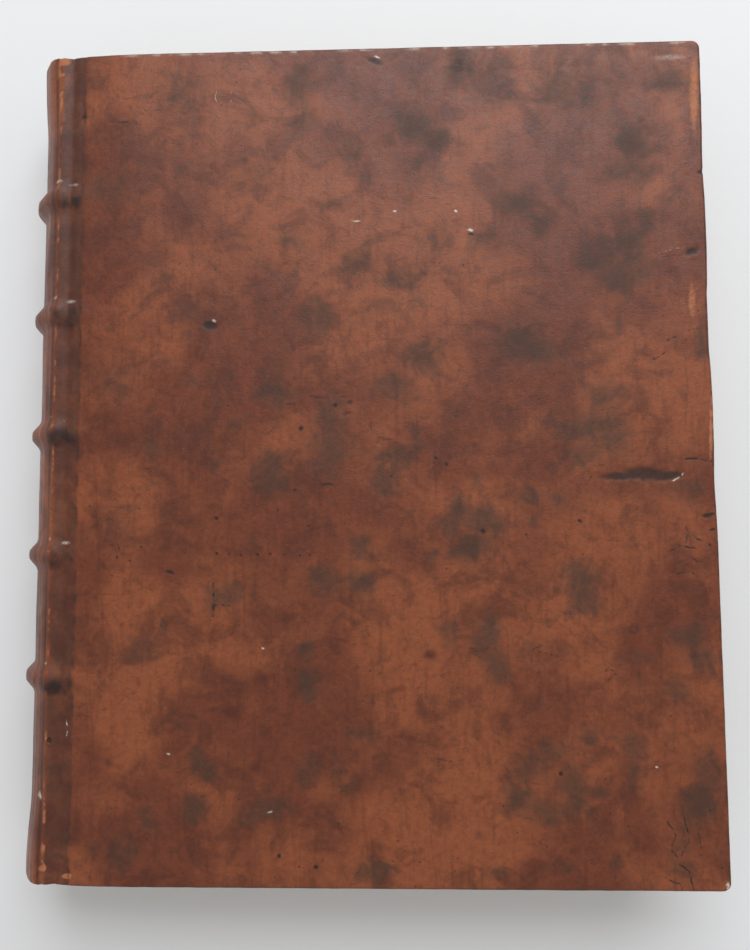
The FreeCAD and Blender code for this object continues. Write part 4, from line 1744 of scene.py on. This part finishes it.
@dataclass
class Endband:
    """Thread wound over a core along the block's round back, at the head or the tail."""

    frame: BookFrame
    section: SkinSection
    at_head: bool
    radius: float = 1.1
    ridge: float = 0.1
    ring_points: int = 10
    windings: int = 44
    steps_per_winding: int = 6
    sweep: float = math.radians(124)

    def build(self, name: str) -> bpy.types.Object:
        """Makes the endband.

        Args:
            name: The piece's name and the node that it stands for.

        Returns:
            The piece.
        """
        low, high = (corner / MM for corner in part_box(name))
        middle_y = (low.y + high.y) / 2
        centre = self.section.spine_centre
        path_radius = centre.x - low.x - 1.2
        bm = bmesh.new()
        turn = Matrix.Rotation(-self.sweep / 2, 4, "Y")
        bmesh.ops.create_circle(bm, cap_ends=True, segments=self.ring_points, radius=self.radius)
        bmesh.ops.translate(bm, vec=(-path_radius, 0, 0), verts=bm.verts)
        bmesh.ops.rotate(bm, verts=bm.verts, cent=(0, 0, 0), matrix=turn.to_3x3())
        steps = self.windings * self.steps_per_winding
        ring = [*bm.verts, *bm.edges, *bm.faces]
        bmesh.ops.spin(bm, geom=ring, cent=(0, 0, 0), axis=(0, 1, 0), angle=self.sweep, steps=steps)
        bmesh.ops.translate(bm, vec=(centre.x, middle_y, centre.z), verts=bm.verts)
        bmesh.ops.recalc_face_normals(bm, faces=bm.faces)
        piece = finish_piece(bm, name + "_thread")
        points = points_of(piece.data)
        normals = normals_of(piece.data)
        angle = np.arctan2(points[:, 2] - centre.z, centre.x - points[:, 0])
        away = np.hypot(points[:, 0] - centre.x, points[:, 2] - centre.z) - path_radius
        around = np.arctan2(points[:, 1] - middle_y, away)
        turns = (angle / self.sweep + 0.5) * self.windings + around / (2 * math.pi)
        wave = np.abs(np.sin(turns * math.pi))
        points += normals * (self.ridge * (wave - 0.6))[:, None]
        put_points(piece.data, points)
        put_attribute(piece.data, "second_thread", (np.floor(turns) % 4 < 2).astype(float))
        return piece


@dataclass
class PaperJoint:
    """The fold of paper between a pastedown and its flyleaf, deep in the joint."""

    frame: BookFrame
    side: Side
    half_gap: float = 0.14
    leg: float = 1.0
    fold_z: float = 33.25
    thickness: float = 0.06
    fold_steps: int = 12

    def build(self, name: str) -> bpy.types.Object:
        """Makes the fold.

        Args:
            name: The piece's name.

        Returns:
            The piece.
        """
        half_y = self.frame.block_high.y - 0.3
        middle_x = self.frame.joint_x
        bm = bmesh.new()
        foot = bm.verts.new((middle_x + self.half_gap, -half_y, self.fold_z - self.leg))
        made = bmesh.ops.extrude_vert_indiv(bm, verts=[foot])
        top = made["verts"][0]
        top.co.z = self.fold_z
        centre = (middle_x, -half_y, self.fold_z)
        made = bmesh.ops.spin(
            bm, geom=[top], cent=centre, axis=(0, -1, 0), angle=math.pi, steps=self.fold_steps
        )
        last = next(item for item in made["geom_last"] if isinstance(item, bmesh.types.BMVert))
        made = bmesh.ops.extrude_vert_indiv(bm, verts=[last])
        made["verts"][0].co.z = self.fold_z - self.leg
        made = bmesh.ops.extrude_edge_only(bm, edges=list(bm.edges))
        moved = [item for item in made["geom"] if isinstance(item, bmesh.types.BMVert)]
        bmesh.ops.translate(bm, vec=(0, 2 * half_y, 0), verts=moved)
        thicken(bm, self.thickness)
        if self.side is Side.BACK:
            bmesh.ops.scale(bm, vec=(1, 1, -1), verts=bm.verts)
            bmesh.ops.translate(bm, vec=(0, 0, self.frame.cover_high.z), verts=bm.verts)
        bmesh.ops.recalc_face_normals(bm, faces=bm.faces)
        return finish_piece(bm, name)


@dataclass(frozen=True)
class Lamp:
    """A soft rectangular lamp that points at the book."""

    name: str
    place: tuple[float, float, float]
    size: tuple[float, float]
    power: float
    colour: tuple[float, float, float] = (1.0, 1.0, 1.0)

    def build(self) -> bpy.types.Object:
        """Makes the lamp.

        Returns:
            The lamp's object.
        """
        data = bpy.data.lights.new(self.name, "AREA")
        data.shape = "RECTANGLE"
        data.size, data.size_y = self.size
        data.energy = self.power
        data.color = self.colour
        lamp = bpy.data.objects.new(self.name, data)
        lamp.location = self.place
        lamp.rotation_euler = (-Vector(self.place)).to_track_quat("-Z", "Y").to_euler()
        bpy.context.scene.collection.objects.link(lamp)
        return lamp


@dataclass(frozen=True)
class Studio:
    """The pale floor, the world and the window's lamp."""

    floor_size: float = 3.0
    floor_colour: Colour = srgb(226, 227, 229)
    world_colour: Colour = (1.0, 0.98, 0.95, 1.0)
    world_strength: float = 0.55
    lamps: tuple[Lamp, ...] = (
        Lamp("window", (0.2, 1.0, 1.0), (1.2, 0.9), 17.0, (0.94, 0.97, 1.0)),
    )

    def build(self) -> None:
        """Makes the floor, world and lamps."""
        bm = bmesh.new()
        bmesh.ops.create_grid(bm, x_segments=1, y_segments=1, size=self.floor_size / 2)
        mesh = bpy.data.meshes.new("floor")
        bm.to_mesh(mesh)
        bm.free()
        floor = bpy.data.objects.new("floor", mesh)
        bpy.context.scene.collection.objects.link(floor)
        finish = Finish("pale_floor")
        mesh.materials.append(finish.close({"Base Color": self.floor_colour, "Roughness": 0.8}))
        world = bpy.data.worlds.new("room")
        world.use_nodes = True
        background = world.node_tree.nodes["Background"]
        background.inputs["Color"].default_value = self.world_colour
        background.inputs["Strength"].default_value = self.world_strength
        bpy.context.scene.world = world
        for lamp in self.lamps:
            lamp.build()


def dress(piece: bpy.types.Object, material: bpy.types.Material) -> None:
    """Gives a new piece its material."""
    piece.data.materials.clear()
    piece.data.materials.append(material)


def dress_nodes(finishes: dict[str, bpy.types.Material]) -> None:
    """Gives each CAD node that stays in sight the material of its slot.

    Args:
        finishes: The material of each slot.
    """
    for subpart in frame["record"]["subparts"]:
        node = frame["nodes"][subpart["node"]]
        node.data.materials.clear()
        node.data.materials.append(finishes[subpart["material_slot"]])


def main() -> None:
    """Builds the book's pieces in order, then the studio."""
    book = BookFrame.read()
    camera = PhotoCamera()
    camera.build()
    Studio().build()
    calf = CalfFinish().build()
    finishes = {
        "calf": calf,
        "pasteboard": FibreFinish("pasteboard", srgb(150, 132, 104), srgb(112, 94, 70), 1.2).build(),
        "pages": PaperFinish("leaf_edges", srgb(208, 190, 156), srgb(170, 142, 100)).build(),
        "endpaper": PaperFinish("laid_endpaper", srgb(214, 200, 168), srgb(186, 162, 120), True).build(),
        "lining": FibreFinish("spine_lining", srgb(184, 168, 134), srgb(150, 130, 98), 2.0).build(),
        "hemp": FibreFinish("hemp_cord", srgb(172, 150, 112), srgb(120, 98, 68), 0.5, (1, 1, 0.4)).build(),
        "endband_thread": ThreadFinish().build(),
    }
    dress_nodes(finishes)
    section = SkinSection(book)

    front = CalfSkin(book, section, camera, Side.FRONT).build("calf_front_and_spine")
    dress(front, calf)
    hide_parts("front_cover_leather", "spine_leather")
    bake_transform(front)
    log.info("front skin: %d faces", len(front.data.polygons))

    back = CalfSkin(book, section, camera, Side.BACK).build("calf_back")
    dress(back, calf)
    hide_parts("back_cover_leather")
    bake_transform(back)
    log.info("back skin: %d faces", len(back.data.polygons))

    leaves = LeafBlock(book).build("leaves")
    dress(leaves, finishes["pages"])
    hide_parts("text_block")
    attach(leaves, "sewn_block")
    log.info("leaves: %d faces", len(leaves.data.polygons))

    for node, at_head in (("head_endband", True), ("tail_endband", False)):
        band = Endband(book, section, at_head).build(node)
        dress(band, finishes["endband_thread"])
        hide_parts(node)
        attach(band, "sewn_block")
    paper_joints = ((Side.FRONT, "front_cover"), (Side.BACK, "back_cover"))
    for side, cover in paper_joints:
        paper = PaperJoint(book, side).build(side.value + "_paper_joint")
        dress(paper, finishes["endpaper"])
        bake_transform(paper)

    bpy.context.scene.view_settings.view_transform = "Standard"


if __name__ == "__main__":
    main()
